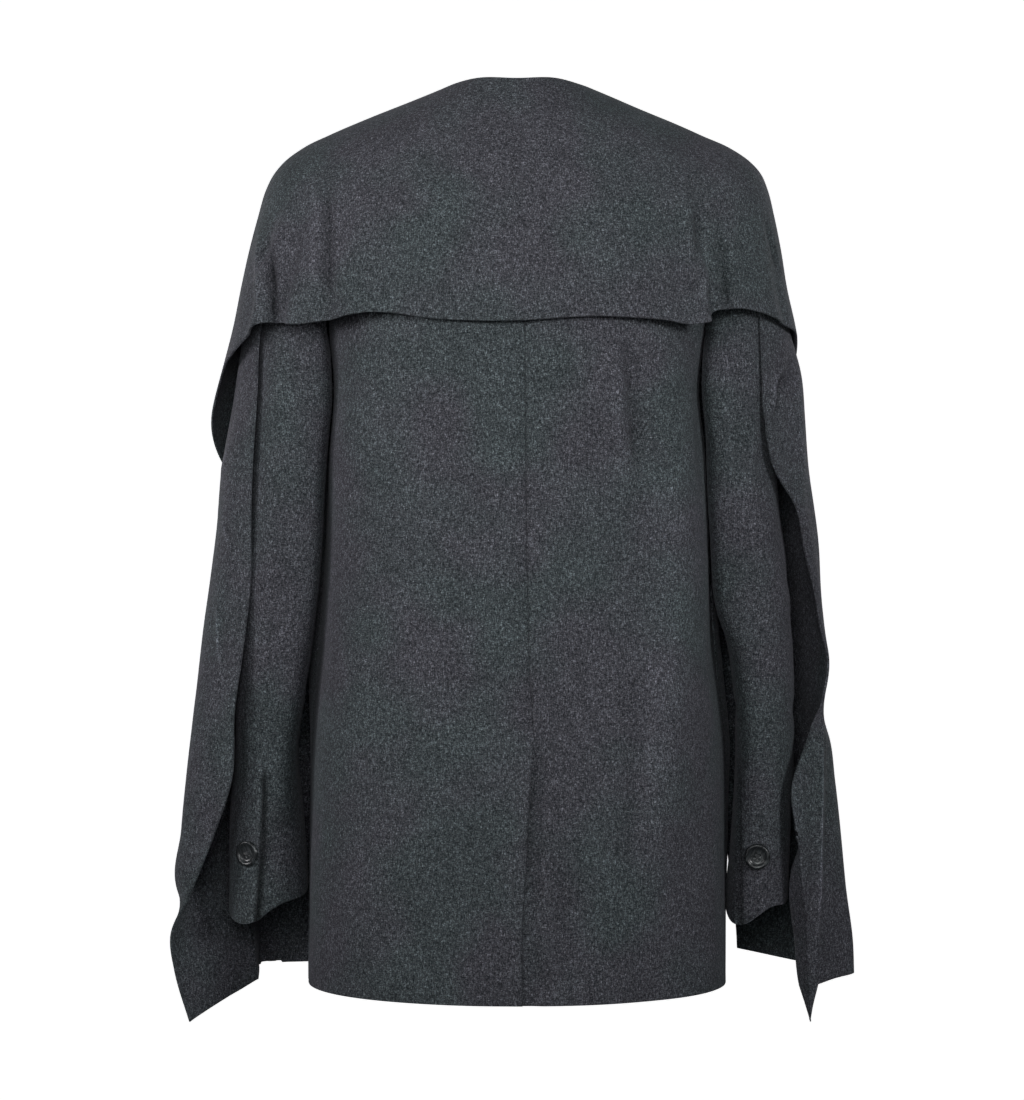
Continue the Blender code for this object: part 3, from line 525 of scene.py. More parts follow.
def crease_relief(grid, plane, line, first_width, second_width, depth):
    """Height of a soft crease over a grid: a line in a plane, with a width on each side, fading at its ends."""
    axes = {"xz": (0, 2), "yz": (1, 2)}[plane]
    flat = grid[..., axes]
    line = np.array(line, float)
    steps = np.linalg.norm(np.diff(line, axis=0), axis=1)
    starts = np.concatenate(((0,), np.cumsum(steps)))
    best = np.full(flat.shape[:2], 1e9)
    place = np.zeros(flat.shape[:2])
    signed = np.zeros(flat.shape[:2])
    for k, (low, high) in enumerate(zip(line, line[1:])):
        way = (high - low) / steps[k]
        offset = flat - low
        reach = np.clip(offset @ way, 0, steps[k])
        gap = offset - reach[..., None] * way
        distance = np.linalg.norm(gap, axis=-1)
        nearer = distance < best
        best = np.where(nearer, distance, best)
        place = np.where(nearer, starts[k] + reach, place)
        signed = np.where(nearer, gap[..., 0] * way[1] - gap[..., 1] * way[0], signed)
    width = np.where(signed > 0, first_width, second_width)
    total = starts[-1]
    fade = ease(place / (0.3 * total)) * ease((total - place) / (0.3 * total)) * 0.8 + 0.2
    return depth * fade * np.exp(-(best / width) ** 2)


def crease_painted_shading(relief, first_width, second_width, depth):
    """Painted shade and highlight of a crease: hollows painted dark, down to -1, and ridges painted pale, up to
    1.
    """
    wide = max(first_width, second_width)
    share = relief / abs(depth)
    # a thin ridge gets a sharp painted highlight along its crest
    if depth > 0 and wide <= THIN_RIDGE_HIGHLIGHT_WIDTH:
        return share ** 3
    return share * (min(0.5, depth / wide) if depth > 0 else min(1.0, -0.5 * depth / wide))


def swell_relief(grid, kind, seed):
    """Slow unevenness, as a sum of a few waves in seeded directions."""
    amplitude, across, down = SWELL[kind]
    spots = np.random.default_rng(seed)
    height = np.zeros(grid.shape[:2])
    around = grid[..., 0] + 0.8 * grid[..., 1]
    for _ in range(7):
        stretch = spots.uniform(0.7, 1.6)
        tilt = spots.uniform(-0.4, 0.4)
        phase = spots.uniform(0, 2 * math.pi)
        wave = around / (across * stretch) + (grid[..., 2] / down + tilt * around / down) / stretch
        height += np.sin(2 * math.pi * wave * 0.5 + phase)
    return height * amplitude / 2.6


def edge_distances(grid):
    """Distance of each grid point from the first and from the last column."""
    steps = np.linalg.norm(np.diff(grid, axis=1), axis=-1)
    across = np.concatenate((np.zeros((grid.shape[0], 1)), np.cumsum(steps, axis=1)), 1)
    return across, across[:, -1:] - across


def groove(distance, strength=1.0):
    """A pressed seam: the cloth rolls down to a narrow flat beside the stitch line."""
    return -GROOVE_DEPTH * strength * np.exp(-(np.maximum(distance - GROOVE_FLAT, 0) / GROOVE_WIDTH) ** 2)


def shares(count, *fine):
    """Rising shares from 0 to 1, with extra ones close to an end: fine names 0, 1 or both."""
    base = np.linspace(0, 1, count)
    step = base[1]
    extra = [end + sign * step * part for end in fine for sign in ((1,) if end == 0 else (-1,))
             for part in (0.42, 0.7)]
    return np.unique(np.concatenate((base, extra)))


# ---------------------------------------------------------------- materials

def node(tree, kind, **settings):
    made = tree.nodes.new(kind)
    for key, value in settings.items():
        setattr(made, key, value)
    return made


def new_material(name, uniform):
    """A material, its node tree and its shader's sockets, with its uniform values set on them."""
    material = bpy.data.materials.new(name)
    material.use_nodes = True
    sockets = material.node_tree.nodes["Principled BSDF"].inputs
    for socket, value in uniform.items():
        sockets[socket].default_value = value
    return material, material.node_tree, sockets


def noise_layer(tree, vector, scale, detail, roughness, stretch=None, distortion=0.0):
    """A noise texture, on coordinates that may be stretched to make short fibres."""
    if stretch is not None:
        mapping = node(tree, "ShaderNodeMapping")
        mapping.inputs["Scale"].default_value = stretch[0]
        mapping.inputs["Rotation"].default_value = stretch[1]
        tree.links.new(vector, mapping.inputs["Vector"])
        vector = mapping.outputs["Vector"]
    noise = node(tree, "ShaderNodeTexNoise")
    noise.inputs["Scale"].default_value = scale
    noise.inputs["Detail"].default_value = detail
    noise.inputs["Roughness"].default_value = roughness
    noise.inputs["Distortion"].default_value = distortion
    tree.links.new(vector, noise.inputs["Vector"])
    return noise.outputs["Fac"]


def ramp(tree, value, stops):
    """Colour ramp of (place, colour) stops, where one number stands for a grey."""
    made = node(tree, "ShaderNodeValToRGB")
    points = made.color_ramp.elements
    while len(points) < len(stops):
        points.new(0.5)
    for point, (place, colour) in zip(points, stops):
        point.position = place
        point.color = (*colour, 1.0) if isinstance(colour, tuple) else (colour, colour, colour, 1.0)
    tree.links.new(value, made.inputs["Fac"])
    return made.outputs["Color"]


def multiplied(tree, first, second):
    """Product of two colours."""
    made = node(tree, "ShaderNodeMix", data_type="RGBA", blend_type="MULTIPLY")
    made.inputs[0].default_value = 1.0
    tree.links.new(first, made.inputs[6])
    tree.links.new(second, made.inputs[7])
    return made.outputs[2]


def flannel_material():
    """Brushed wool in dark charcoal: dark and pale fibres at about a millimetre, soft clouding and a nap.

    A mesh attribute paints shade and highlight on it: hollows painted dark at -1, ridges painted pale at 1.
    """
    material, tree, shader = new_material("flannel", {
        "Roughness": 0.94, "Specular IOR Level": 0.16,
        "Sheen Weight": 0.05, "Sheen Roughness": 0.5, "Sheen Tint": (0.85, 0.85, 0.95, 1.0),
    })
    spot = node(tree, "ShaderNodeTexCoord").outputs["Object"]

    fleck = noise_layer(tree, spot, 1150, 2.0, 0.62)
    upright = noise_layer(tree, spot, 1000, 1.5, 0.6, ((1.0, 1.0, 0.34), (0.35, 0.0, 0.3)))
    level = noise_layer(tree, spot, 1000, 1.5, 0.6, ((0.34, 0.5, 1.0), (0.0, 0.4, 0.2)))
    clumps = noise_layer(tree, spot, 330, 2.0, 0.55)
    clouds = noise_layer(tree, spot, 26, 3.0, 0.55)
    tints = noise_layer(tree, spot, 11, 2.0, 0.5)
    # painted shade and highlight, read from the mesh attribute and moved from -1..1 to 0..1
    painted_shading = node(tree, "ShaderNodeMath", operation="MULTIPLY_ADD")
    painted_shading.inputs[1].default_value = 0.5
    painted_shading.inputs[2].default_value = 0.5
    tree.links.new(node(tree, "ShaderNodeAttribute", attribute_name="nap_tone").outputs["Fac"], painted_shading.inputs[0])

    colour = ramp(tree, fleck, ((0.30, (0.014, 0.0155, 0.018)), (0.47, (0.037, 0.041, 0.045)),
                                (0.58, (0.062, 0.067, 0.072)), (0.74, (0.135, 0.145, 0.155))))
    for value, stops in (
        (upright, ((0.36, (0.55, 0.55, 0.56)), (0.52, 1.0), (0.68, (1.65, 1.65, 1.68)))),
        (level, ((0.34, (0.62, 0.62, 0.63)), (0.52, 1.0), (0.70, 1.5))),
        (clumps, ((0.3, 0.80), (0.7, 1.22))),
        (clouds, ((0.3, 0.90), (0.7, 1.09))),
        (tints, ((0.40, (1.055, 0.972, 1.035)), (0.60, (0.94, 1.022, 1.0)))),
        # painted shade darkens down to half, painted highlight lightens up to 2.2 times
        (painted_shading.outputs[0], ((0.0, 0.5), (0.5, 1.0), (0.75, 1.26), (1.0, (2.2, 2.2, 2.25)))),
    ):
        colour = multiplied(tree, colour, ramp(tree, value, stops))
    tree.links.new(colour, shader["Base Color"])

    nap = node(tree, "ShaderNodeMath", operation="ADD")
    tree.links.new(fleck, nap.inputs[0])
    tree.links.new(upright, nap.inputs[1])
    bump = node(tree, "ShaderNodeBump")
    bump.inputs["Strength"].default_value = 0.55
    bump.inputs["Distance"].default_value = 0.00022
    tree.links.new(nap.outputs[0], bump.inputs["Height"])
    tree.links.new(bump.outputs["Normal"], shader["Normal"])
    return material


def horn_material():
    """Polished dark horn with faint paler streaks and fine scratches."""
    material, tree, shader = new_material("horn", {
        "Specular IOR Level": 0.35, "Coat Weight": 0.12, "Coat Roughness": 0.12,
    })
    spot = node(tree, "ShaderNodeTexCoord").outputs["Object"]
    streak = noise_layer(tree, spot, 170, 3.0, 0.6, ((1.0, 0.22, 0.35), (0.4, 0.7, 0.9)), 1.4)
    colour = ramp(tree, streak, ((0.36, (0.008, 0.009, 0.010)), (0.53, (0.020, 0.023, 0.025)),
                                 (0.70, (0.085, 0.094, 0.097))))
    tree.links.new(colour, shader["Base Color"])
    scratch = noise_layer(tree, spot, 900, 2.0, 0.6, ((1.0, 0.15, 1.0), (0.2, 0.5, 0.9)))
    tree.links.new(ramp(tree, scratch, ((0.35, 0.22), (0.7, 0.40))), shader["Roughness"])
    return material


def thread_material():
    """Twisted sewing thread, a shade darker than the cloth."""
    material, tree, shader = new_material("thread", {"Roughness": 0.7, "Sheen Weight": 0.2})
    spot = node(tree, "ShaderNodeTexCoord").outputs["Object"]
    ply = noise_layer(tree, spot, 2600, 2.0, 0.6)
    colour = ramp(tree, ply, ((0.35, (0.008, 0.009, 0.011)), (0.65, (0.030, 0.033, 0.037))))
    tree.links.new(colour, shader["Base Color"])
    return material


FLANNEL = flannel_material()
HORN = horn_material()
THREAD = thread_material()


# ---------------------------------------------------------------- meshes

def put(name, data):
    """An object with this data, in the scene."""
    made = bpy.data.objects.new(name, data)
    bpy.context.scene.collection.objects.link(made)
    return made


def fill_rings(work, rings, first, last=None):
    """Faces between rings of vertices, closed by fans from the vertex first and, if given, last."""
    around = len(rings[0])
    for j in range(around):
        following = (j + 1) % around
        work.faces.new((first, rings[0][j], rings[0][following]))
        if last is not None:
            work.faces.new((rings[-1][j], last, rings[-1][following]))
        for low, high in zip(rings, rings[1:]):
            work.faces.new((low[j], high[j], high[following], low[following]))


def sewn_thread(name, radius, resolution, strands, at=Matrix()):
    """Sewing thread along strands, each a list of points in millimetres, in the frame at."""
    curve = bpy.data.curves.new(name, "CURVE")
    curve.dimensions = "3D"
    curve.bevel_depth = radius * MM
    curve.bevel_resolution = resolution
    curve.use_fill_caps = True
    for strand in strands:
        spline = curve.splines.new("POLY")
        spline.points.add(len(strand) - 1)
        for point, place in zip(spline.points, strand):
            point.co = (*(Vector(place) * MM), 1.0)
    curve.materials.append(THREAD)
    thread = put(name, curve)
    thread.matrix_world = at
    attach(thread, "root")


def cloth_piece(name, grid, painted_shading, flip, keep=None, edge=EDGE_ROUND):
    """Cloth from a grid of outer-face points in millimetres: thickened inwards, with rounded edges."""
    rows, columns = grid.shape[:2]
    index = np.arange(rows * columns).reshape(rows, columns)
    corners = np.stack((index[:-1, :-1], index[1:, :-1], index[1:, 1:], index[:-1, 1:]), -1)
    used = np.ones((rows - 1, columns - 1), bool) if keep is None else keep
    faces = corners[used]
    if flip:
        faces = faces[:, ::-1]
    wanted = np.unique(faces)
    renumber = np.zeros(rows * columns, int)
    renumber[wanted] = np.arange(len(wanted))
    mesh = bpy.data.meshes.new(name)
    mesh.from_pydata((grid.reshape(-1, 3)[wanted] * MM).tolist(), [], renumber[faces].tolist())
    mesh.update()
    # painted shade and highlight, one value per vertex, for the flannel's colour
    mesh.attributes.new("nap_tone", "FLOAT", "POINT").data.foreach_set("value", painted_shading.ravel()[wanted])
    mesh.materials.append(FLANNEL)
    mesh.shade_smooth()
    piece = put(name, mesh)
    shell = piece.modifiers.new("Cloth", "SOLIDIFY")
    shell.thickness = CLOTH * MM
    shell.offset = -1.0
    shell.use_even_offset = False
    rounded = piece.modifiers.new("Edge", "BEVEL")
    rounded.width = edge * MM
    rounded.segments = 2
    rounded.limit_method = "ANGLE"
    rounded.angle_limit = math.radians(60)
    rounded.use_clamp_overlap = False
    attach(piece, "root")
    return piece


def dress(grid, name, kind, seed, normal, relief=0.0, painted_shading=0.0):
    """A grid with its creases, swell and further relief laid on along its normals, and its painted shade and
    highlight.
    """
    height = swell_relief(grid, kind, seed) + relief
    painted_shading = np.zeros(grid.shape[:2]) + painted_shading
    for plane, line, first_width, second_width, depth in CREASES[name]:
        crease = crease_relief(grid, plane, line, first_width, second_width, depth)
        height = height + crease
        # each crease adds painted shade along a trough or painted highlight along a ridge
        painted_shading = painted_shading + crease_painted_shading(crease, first_width, second_width, depth)
    return grid + normal * height[..., None], np.clip(painted_shading, -1.0, 1.0)


# ---------------------------------------------------------------- body

def edge_angle(run):
    """Angle where a back or front starts: the shoulder or side seam, or the armhole."""
    share = 1 - ((run - ARMHOLE_MIDDLE) / ARMHOLE_HALF) ** 2
    return ARMHOLE_ANGLE * np.sqrt(np.maximum(share, 0))


def body_runs():
    """Rows down the back, closer round the armhole's ends and at the vent's top."""
    armhole = ARMHOLE_MIDDLE - ARMHOLE_HALF * np.cos(np.radians(np.linspace(0, 180, int(150 / CELL_DOWN))))
    pieces = (np.linspace(0, ARMHOLE_TOP_RUN, int(135 / CELL_DOWN))[:-1], armhole,
              np.linspace(ARMHOLE_END_RUN, VENT_TOP_RUN, int(305 / CELL_DOWN))[1:],
              np.linspace(VENT_TOP_RUN, HEM_RUN, int(210 / CELL_DOWN))[1:])
    return np.concatenate(pieces)


def make_back(side):
    """Back panel. The left one laps over the right one at the vent."""
    name = "back_left" if side > 0 else "back_right"
    run = body_runs()
    column = shares(int(255 / CELL_ACROSS), 0, 1)
    outer = edge_angle(run)
    in_vent = run > VENT_TOP_RUN
    edge_x = np.where(in_vent, along(VENT_EDGE, run), along(CENTRE_SEAM, run))
    inner = body_angle(edge_x, run)
    seam_fade = 1 - ease((run - VENT_TOP_RUN) / 12.0)
    side_seam = ease((run - ARMHOLE_END_RUN) / 10.0)
    vent = ease((run - VENT_TOP_RUN) / 30.0)
    keep = None
    if side > 0:
        angle = between(outer, inner, column)
        grid = body_point(angle, run[:, None] + 0 * angle)
        first, last = edge_distances(grid)
        relief = groove(first) * side_seam[:, None] + groove(last) * seam_fade[:, None]
        relief = relief + 0.8 * vent[:, None] * np.exp(-(last / 9.0) ** 2)
        # painted shade along the centre seam, darker along the vent's edge
        painted_shading = -(SEAM_PAINTED_SHADE + 0.35 * vent[:, None]) * np.exp(-(last / SEAM_PAINTED_SHADE_WIDTH) ** 2)
        normal = grid_normals(grid, 1)
    else:
        outer = 180 - outer
        inner = np.where(in_vent, body_angle(edge_x - 1.5, run), inner)
        angle = between(outer, inner, column)
        lap = np.linspace(0, 1, int(VENT_UNDERLAP / CELL_ACROSS) + 2)[1:]
        lap_angle = body_angle((edge_x[:, None] + lap[None] * VENT_UNDERLAP).ravel(),
                               np.repeat(run, len(lap))).reshape(len(run), len(lap))
        angle = np.concatenate((angle, lap_angle), 1)
        grid = body_point(angle, run[:, None] + 0 * angle)
        first = edge_distances(grid)[0]
        from_seam = first[:, len(column) - 1][:, None] - first
        sink = LAP_DROP * vent[:, None] * ease((16.0 - from_seam) / 12.0)
        relief = groove(first) * side_seam[:, None] + groove(np.abs(from_seam)) * seam_fade[:, None] - sink
        keep = np.ones((len(run) - 1, angle.shape[1] - 1), bool)
        keep[:, len(column) - 1:] = (run[:-1] >= VENT_TOP_RUN)[:, None]
        vent_painted_shade = vent * (1 - ease((run - 640) / 90.0))     # painted shade beside the top of the vent, where the under layer lies lower
        # painted shade along the centre seam, and beside the top of the vent
        painted_shading = -SEAM_PAINTED_SHADE * seam_fade[:, None] * np.exp(-(from_seam / SEAM_PAINTED_SHADE_WIDTH) ** 2)
        painted_shading = painted_shading - 0.55 * vent_painted_shade[:, None] * np.exp(-(from_seam / 7.0) ** 2)
        normal = grid_normals(grid[:, :len(column)], -1)
        normal = np.concatenate((normal, np.repeat(normal[:, -1:], len(lap), axis=1)), 1)
    grid, painted_shading = dress(grid, "back", "back", 3, normal, relief, painted_shading)
    return cloth_piece(name + "_cloth", grid, painted_shading, side < 0, keep)


def neckline_x(run):
    """Distance of the neckline or front edge from the centre line; below the break it has passed it."""
    return np.where(run >= BREAK_RUN, -FRONT_LAP, NECK_HALF - (NECK_HALF + FRONT_LAP) * run / BREAK_RUN)


def make_front(side):
    """Front panel from the shoulder seam to the hem. The right front laps over the left."""
    name = "front_left" if side > 0 else "front_right"
    turns = (0, 5, 24, 45, 68, 90, 112, 135, 158, 180)
    side_runs = (320, 370, 420, 470, 525, 585, 640, 700, 745, HEM_RUN)
    edge_runs = [0, 6] + list(np.linspace(36, BREAK_RUN, len(turns) + 1))
    edge_runs += [440, 500, 560, 610, 660, 705, 745, HEM_RUN]
    count = len(turns) + len(side_runs)
    edge_runs = np.interp(np.linspace(0, 1, count), np.linspace(0, 1, len(edge_runs)), edge_runs)
    level = np.linspace(0, count - 1, int(700 / CELL_DOWN))
    turn = np.radians(np.interp(level, range(len(turns)), turns))
    on_armhole = level <= len(turns) - 1
    side_run = np.interp(level, range(len(turns) - 1, count), (ARMHOLE_END_RUN,) + side_runs)
    outer_angle = np.where(on_armhole, -ARMHOLE_ANGLE * np.sin(turn), 0.0)
    outer_run = np.where(on_armhole, ARMHOLE_MIDDLE - ARMHOLE_HALF * np.cos(turn), side_run)
    edge_run = np.interp(level, range(count), edge_runs)
    edge = body_angle(neckline_x(edge_run), edge_run, front=True)
    column = shares(int(270 / FRONT_CELL_ACROSS), 0, 1)
    run = between(outer_run, edge_run, column)
    angle = np.minimum(between(outer_angle, edge, column), 0.0)
    grid = body_point(angle if side > 0 else 180 - angle, run)
    first = edge_distances(grid)[0]
    relief = groove(first) * ease((outer_run - ARMHOLE_END_RUN) / 10.0)[:, None]
    if side > 0:
        past = (-neckline_x(np.minimum(run, BREAK_RUN)) + FRONT_LAP_RAMP - grid[..., 0]) / FRONT_LAP_RAMP
        relief = relief - LAP_DROP * ease(past)
    grid, painted_shading = dress(grid, name, "front", 5, grid_normals(grid, -side), relief)
    return cloth_piece(name + "_cloth", grid, painted_shading, side > 0)


# ---------------------------------------------------------------- sleeves

def make_sleeve(side):
    """Two-piece sleeve. The upper piece laps over the under piece at the cuff's vent."""
    word = "left" if side > 0 else "right"
    run = np.concatenate((np.linspace(0, 28, int(34 / CELL_DOWN)),
                          np.linspace(28, 616, int(588 / CELL_DOWN))[1:]))
    seam = sleeve_seam(run, side)
    vent = ease((run - SLEEVE_VENT_RUN) / 18.0)
    made = []
    for prefix, width in (("upper_sleeve_", 190), ("under_sleeve_", 125)):
        name = prefix + word
        column = shares(int(width / CELL_ACROSS), 0, 1)
        if prefix == "upper_sleeve_":
            low = SLEEVE_SEAM_FRONT + 0 * seam
            high = seam
        else:
            low = seam - SLEEVE_VENT_LAP * vent
            high = 360 + SLEEVE_SEAM_FRONT + 0 * seam
        turn = between(low, high, column)
        grid = sleeve_point(turn, run[:, None] + 0 * turn, side)
        first, last = edge_distances(grid)
        if prefix == "upper_sleeve_":
            relief = groove(first) + groove(last, 0.2) * (1 - vent)[:, None]
            relief = relief + 1.1 * vent[:, None] * np.exp(-(last / 7.0) ** 2)
            # painted shade along the upper piece's edge at the vent
            painted_shading = -vent[:, None] * np.exp(-(last / 2.0) ** 4)
        else:
            past = (turn - seam[:, None]) / SLEEVE_VENT_STEP
            relief = groove(last) + groove(first, 0.2) * (1 - vent)[:, None]
            sink, rise = SLEEVE_VENT_SINK[side]
            relief = relief - sink * vent[:, None] * (1 - ease((past + 0.2) / rise))
            # painted shade on the under piece, beside the upper piece's edge at the vent
            painted_shading = -vent[:, None] * np.exp(-(past / 2.2) ** 2)
        normal = grid_normals(grid, side)
        grid, painted_shading = dress(grid, "sleeve_" + word, "sleeve", 11 + (side > 0), normal, relief, painted_shading)
        made.append(cloth_piece(name + "_cloth", grid, painted_shading, side < 0, edge=SLEEVE_EDGE_ROUND))
    return made


# ---------------------------------------------------------------- capelet and long panels

def make_capelet():
    """Capelet over the shoulders, open in front."""
    down = shares(int(345 / CELL_DOWN), 1)
    column = shares(int(1010 / CELL_ACROSS), 0, 1)
    angle = column * (CAPELET_FRONT_RIGHT - CAPELET_FRONT_LEFT) + CAPELET_FRONT_LEFT
    length = along(CAPELET_LENGTH, angle)
    run = down[:, None] * length[None]
    reach = along(CAPELET_FRONT_REACH, run.ravel()).reshape(run.shape)
    turn = np.broadcast_to(angle[None], run.shape)
    left = -CAPELET_SHOULDER_LINE
    right = 180 + CAPELET_SHOULDER_LINE
    turn = np.where(turn < left, left + (turn - left) * reach, turn)
    turn = np.where(turn > right, right + (turn - right) * reach, turn)
    grid = capelet_point(turn, run)
    grid, painted_shading = dress(grid, "capelet", "capelet", 21, grid_normals(grid, 1))
    return cloth_piece("capelet_cloth", grid, painted_shading, False)


def make_panel(side):
    """Long cape panel that hangs from the armhole seam, round the outside of the sleeve."""
    name = "cape_panel_left" if side > 0 else "cape_panel_right"
    table = PANEL_LEFT if side > 0 else PANEL_RIGHT
    hem = PANEL_LEFT_HEM if side > 0 else PANEL_RIGHT_HEM
    mirror = np.array((side, 1, 1))
    turns = np.array(PANEL_TOP_ANGLES, float)

    def sleeve_here(turn, run):
        return sleeve_point(turn, run, side) * mirror

    rows = []
    for run in PANEL_TOP_SLEEVE_RUNS:
        rows.append(sleeve_here(turns, run) + normal_of(sleeve_here, turns, run) * PANEL_STAND_OFF)
    for level in table:
        rows.append(np.array([(x, y, level[0]) for x, y in level[1:]], float))
    rows.append(np.array(hem, float))
    keys = list(PANEL_TOP_KEYS) + [-level[0] - PANEL_KEY_ORIGIN for level in table]
    keys.append(keys[-1] + PANEL_HEM_KEY)
    levels = np.unique(np.concatenate((np.linspace(keys[0], keys[6], int(150 / CELL_DOWN)),
                                       np.linspace(keys[6], keys[-1], int(560 / CELL_DOWN)))))
    lines = through(keys, np.array(rows), levels)
    across = shares(int(225 / PANEL_CELL_ACROSS), 0, 1) * 5
    across = np.unique(np.append(across, (1.0, 3.0)))
    smooth = np.swapaxes(through(range(6), np.swapaxes(lines, 0, 1), across), 0, 1)
    first = np.minimum(across.astype(int), 4)
    share = (across - first)[None, :, None]
    straight = lines[:, first] * (1 - share) + lines[:, first + 1] * share
    # the lower part is folded sharply: the left panel in front of its outer side, the right one behind it
    start, column = PANEL_FOLDS[side]
    fold = ease((levels - start) / 70.0)[:, None] * np.exp(-((across - column) / 0.9) ** 2)[None]
    smooth = smooth + (straight - smooth) * fold[..., None]
    grid = smooth
    if side < 0:
        # the rear edge rolls in near the hem
        roll_keys = [-row[0] - PANEL_KEY_ORIGIN for row in PANEL_ROLL]
        roll = through(roll_keys, np.array(PANEL_ROLL)[:, (1, 2, 0)], levels)
        rolled = np.linspace(1, 0, 7)[:-1, None]
        strips = lines[:, 0][:, None] * (1 - rolled[None]) + roll[:, None] * rolled[None]
        shown = ease((levels - keys[-4]) / 30.0)[:, None, None]
        inner = lines[:, 0][:, None] + (smooth[:, 1] - lines[:, 0])[:, None] * -0.6 * rolled[None]
        strips = inner * (1 - shown) + strips * shown
        grid = np.concatenate((strips, smooth), 1)
    grid = grid * mirror
    first = edge_distances(grid)[0]
    relief = -0.5 * np.exp(-(first / 2.2) ** 2) + 0.35 * np.exp(-((first - 8) / 5) ** 2)
    grid, painted_shading = dress(grid, name, "panel", 31 + (side > 0), grid_normals(grid, -side), relief)
    return cloth_piece(name + "_cloth", grid, painted_shading, side > 0)


# ---------------------------------------------------------------- buttons

def make_button(name, node_name, place, outward, spin):
    """Four-hole horn button: rounded rim, dished middle and wells for the thread."""
    steps = np.linspace(0, len(BUTTON_PROFILE) - 1, BUTTON_RINGS)
    line = through(range(len(BUTTON_PROFILE)), BUTTON_PROFILE, steps)
    line[:, 0] = np.maximum(line[:, 0], 0)
    holes = [(HOLE_PLACE * math.cos(turn), HOLE_PLACE * math.sin(turn))
             for turn in (math.pi / 4, 3 * math.pi / 4, 5 * math.pi / 4, 7 * math.pi / 4)]
    mesh = bpy.data.meshes.new(name)
    work = bmesh.new()
    rings = []
    for k, (share, height) in enumerate(line[1:-1]):
        ring = []
        for j in range(BUTTON_AROUND):
            turn = 2 * math.pi * j / BUTTON_AROUND
            x, y, z = share * math.cos(turn), share * math.sin(turn), height
            if k < BUTTON_FRONT_RINGS:
                for hx, hy in holes:
                    z -= HOLE_DEPTH * math.exp(-((x - hx) ** 2 + (y - hy) ** 2) / HOLE_WIDTH ** 2)
            ring.append(work.verts.new((x * BUTTON_RADIUS * MM, y * BUTTON_RADIUS * MM, z * MM)))
        rings.append(ring)
    top = work.verts.new((0, 0, line[0][1] * MM))
    bottom = work.verts.new((0, 0, 0))
    fill_rings(work, rings, top, bottom)
    work.to_mesh(mesh)
    work.free()
    mesh.materials.append(HORN)
    mesh.shade_smooth()
    button = put(name, mesh)
    facing = Vector(outward).normalized()
    turned = facing.to_track_quat("Z", "Y").to_matrix().to_4x4() @ Matrix.Rotation(spin, 4, "Z")
    button.matrix_world = Matrix.Translation(Vector(place) * MM) @ turned
    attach(button, "root")
    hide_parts(node_name)

    reach = 0.7071 * HOLE_PLACE * BUTTON_RADIUS
    strands = []
    for slope in (1, -1):
        for offset in (-0.35, 0.35):
            strand = []
            for t in np.linspace(0, 1, 9):
                way = reach * (1 - 2 * t)
                arch = 2.15 + 0.55 * math.sin(math.pi * t) - 1.3 * (2 * abs(t - 0.5)) ** 6
                strand.append((way - offset * slope, way * slope + offset, arch))
            strands.append(strand)
    sewn_thread(name + "_thread", BUTTON_THREAD, 2, strands, button.matrix_world)


def make_buttonhole(name, spot):
    """Worked buttonhole: close stitches round a slit. spot gives a point ahead, beside and above its start."""
    count = int(BUTTONHOLE_LENGTH / STITCH_PITCH)
    strands = []
    for row in (-1, 1):
        for k in range(count + 1):
            strands.append([spot(k * BUTTONHOLE_LENGTH / count, row * (0.25 + STITCH_LENGTH * t / 3),
                                 0.22 * math.sin(math.pi * t / 3) + 0.05) for t in range(4)])
    for turn in np.radians(np.linspace(-90, 90, 9)):
        strands.append([spot(BUTTONHOLE_LENGTH + reach * math.cos(turn), reach * math.sin(turn), 0.15)
                        for reach in (0.3, 0.95, 1.6)])
    sewn_thread(name, BUTTONHOLE_THREAD, 1, strands)


def sew_button(kind, word, surface, facing, turn, run, spin):
    """A button in the place of its solid, with its buttonhole, on a surface whose normals need this sign."""
    radius, lift, start, thread_lift = SEWN_ON[kind]
    outward = normal_of(surface, turn, run).reshape(3) * facing
    place = surface(turn, run).reshape(3) + outward * lift
    make_button(f"button_{kind}_{word}", f"{kind}_button_{word}", place, outward, spin)

    def spot(ahead, beside, above):
        turn_here = turn + start - ahead * TURN_OF_RADIUS / radius
        normal = normal_of(surface, turn_here, run + beside).reshape(3) * facing
        return surface(turn_here, run + beside).reshape(3) + normal * (above + thread_lift)

    make_buttonhole(f"buttonhole_{kind}_{word}", spot)


def make_buttons():
    """Cuff buttons on the sleeves, and front buttons on the middle of the front."""
    for word, side, run, turn in CUFF_BUTTONS:
        def cuff(a, b, side=side):
            return sleeve_point(a, b, side)

        sew_button("cuff", word, cuff, side, turn, run, 0.5 * side)
    for word, run in FRONT_BUTTONS:
        sew_button("front", word, body_point, 1, -90.0, run, 0.3)


# ---------------------------------------------------------------- stage

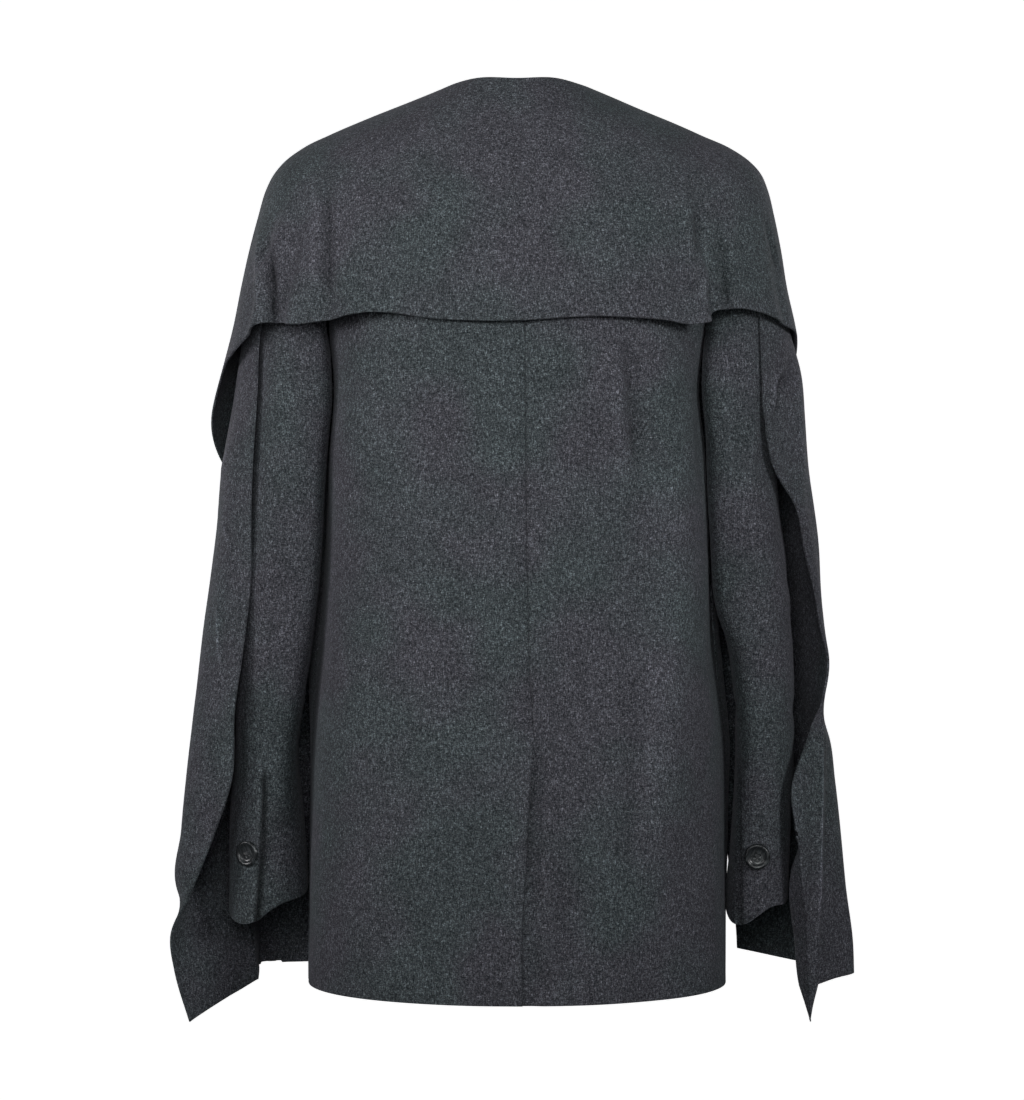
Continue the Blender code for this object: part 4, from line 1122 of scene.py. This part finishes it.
CAMERA_DISTANCE = 3.1
CAMERA_SIDE = 0.0041
CAMERA_HEIGHT = -0.3756
FLOOR = -1.42               # the floor under a wearer whose neck is at the origin
FLOOR_REACH = 4.6           # flat up to here, then a curve with this radius, up to this height
BACKDROP_CURVE = 1.8
BACKDROP_TOP = 4.5
FLOOR_AROUND = 96
LIGHTS = (                  # name, place, height of its aim, size, power, colour
    ("key_middle", (0.15, 2.3, 0.30), -0.15, 0.9, 2.3, (0.97, 1.0, 1.0)),
    ("key_low", (0.10, 2.6, -0.30), -0.25, 0.7, 1.1, (0.97, 1.0, 1.0)),
    ("key_left", (1.60, 1.9, 0.25), -0.20, 0.6, 1.7, (0.99, 0.98, 1.0)),
    ("key_right", (-1.60, 1.9, 0.25), -0.20, 0.6, 3.9, (0.98, 0.99, 1.0)),
    ("side_left", (2.10, 0.6, 0.00), -0.25, 0.6, 2.6, (1.0, 0.98, 1.0)),
    ("front_right", (-1.7, -2.3, 0.10), -0.25, 1.6, 3.0, (1.0, 1.0, 1.0)),
    ("front_left", (1.7, -2.3, 0.10), -0.25, 1.6, 3.0, (1.0, 1.0, 1.0)),
)
LIGHT_SPREAD = math.radians(64)


def face(made, place, target):
    """Puts a camera or light in its place, turned to a target."""
    made.location = place
    made.rotation_euler = (Vector(target) - made.location).to_track_quat("-Z", "Y").to_euler()


def make_camera():
    data = bpy.data.cameras.new("camera")
    data.lens = 124.0
    data.sensor_width = 36.0
    camera = put("camera", data)
    face(camera, (CAMERA_SIDE, CAMERA_DISTANCE, CAMERA_HEIGHT), (CAMERA_SIDE, 0.0, CAMERA_HEIGHT))
    bpy.context.scene.camera = camera


def make_lights():
    for name, place, aim, size, power, colour in LIGHTS:
        data = bpy.data.lights.new(name, "AREA")
        data.shape = "DISK"
        data.size = size
        data.energy = power
        data.color = colour
        data.spread = LIGHT_SPREAD
        light = put(name, data)
        face(light, place, (0, 0, aim))
        light.visible_camera = False
    world = bpy.data.worlds.new("studio")
    bpy.context.scene.world = world
    world.use_nodes = True
    background = world.node_tree.nodes["Background"]
    background.inputs["Color"].default_value = (0.93, 0.96, 1.0, 1.0)
    background.inputs["Strength"].default_value = 0.06


def make_floor():
    """Pale floor that curves up into a backdrop all round."""
    profile = [(2.0, FLOOR), (FLOOR_REACH, FLOOR)]
    profile += [(FLOOR_REACH + BACKDROP_CURVE * math.sin(turn), FLOOR + BACKDROP_CURVE * (1 - math.cos(turn)))
                for turn in np.linspace(0.15, math.pi / 2, 12)]
    profile.append((FLOOR_REACH + BACKDROP_CURVE, BACKDROP_TOP))
    turns = [2 * math.pi * j / FLOOR_AROUND for j in range(FLOOR_AROUND)]
    mesh = bpy.data.meshes.new("floor")
    work = bmesh.new()
    rings = [[work.verts.new((radius * math.cos(turn), radius * math.sin(turn), height)) for turn in turns]
             for radius, height in profile]
    fill_rings(work, rings, work.verts.new((0, 0, FLOOR)))
    work.to_mesh(mesh)
    work.free()
    mesh.shade_smooth()
    floor = put("floor", mesh)
    mesh.materials.append(new_material("backdrop", {
        "Base Color": (0.9, 0.9, 0.9, 1.0), "Roughness": 0.9,
        "Emission Color": (1.0, 1.0, 1.0, 1.0), "Emission Strength": 0.95,
    })[0])
    floor.visible_diffuse = False
    floor.visible_glossy = False
    floor.visible_shadow = False


# ---------------------------------------------------------------- whole


def main():
    bpy.context.scene.view_settings.view_transform = "Standard"
    make_camera()
    make_lights()
    make_floor()
    cloths = []
    for side in (1, -1):
        cloths.append(make_back(side))
        cloths.append(make_front(side))
        cloths += make_sleeve(side)
        cloths.append(make_panel(side))
    cloths.append(make_capelet())
    for cloth in cloths:
        piece = cloth.name[:-len("_cloth")]
        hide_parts(piece)
    make_buttons()


main()
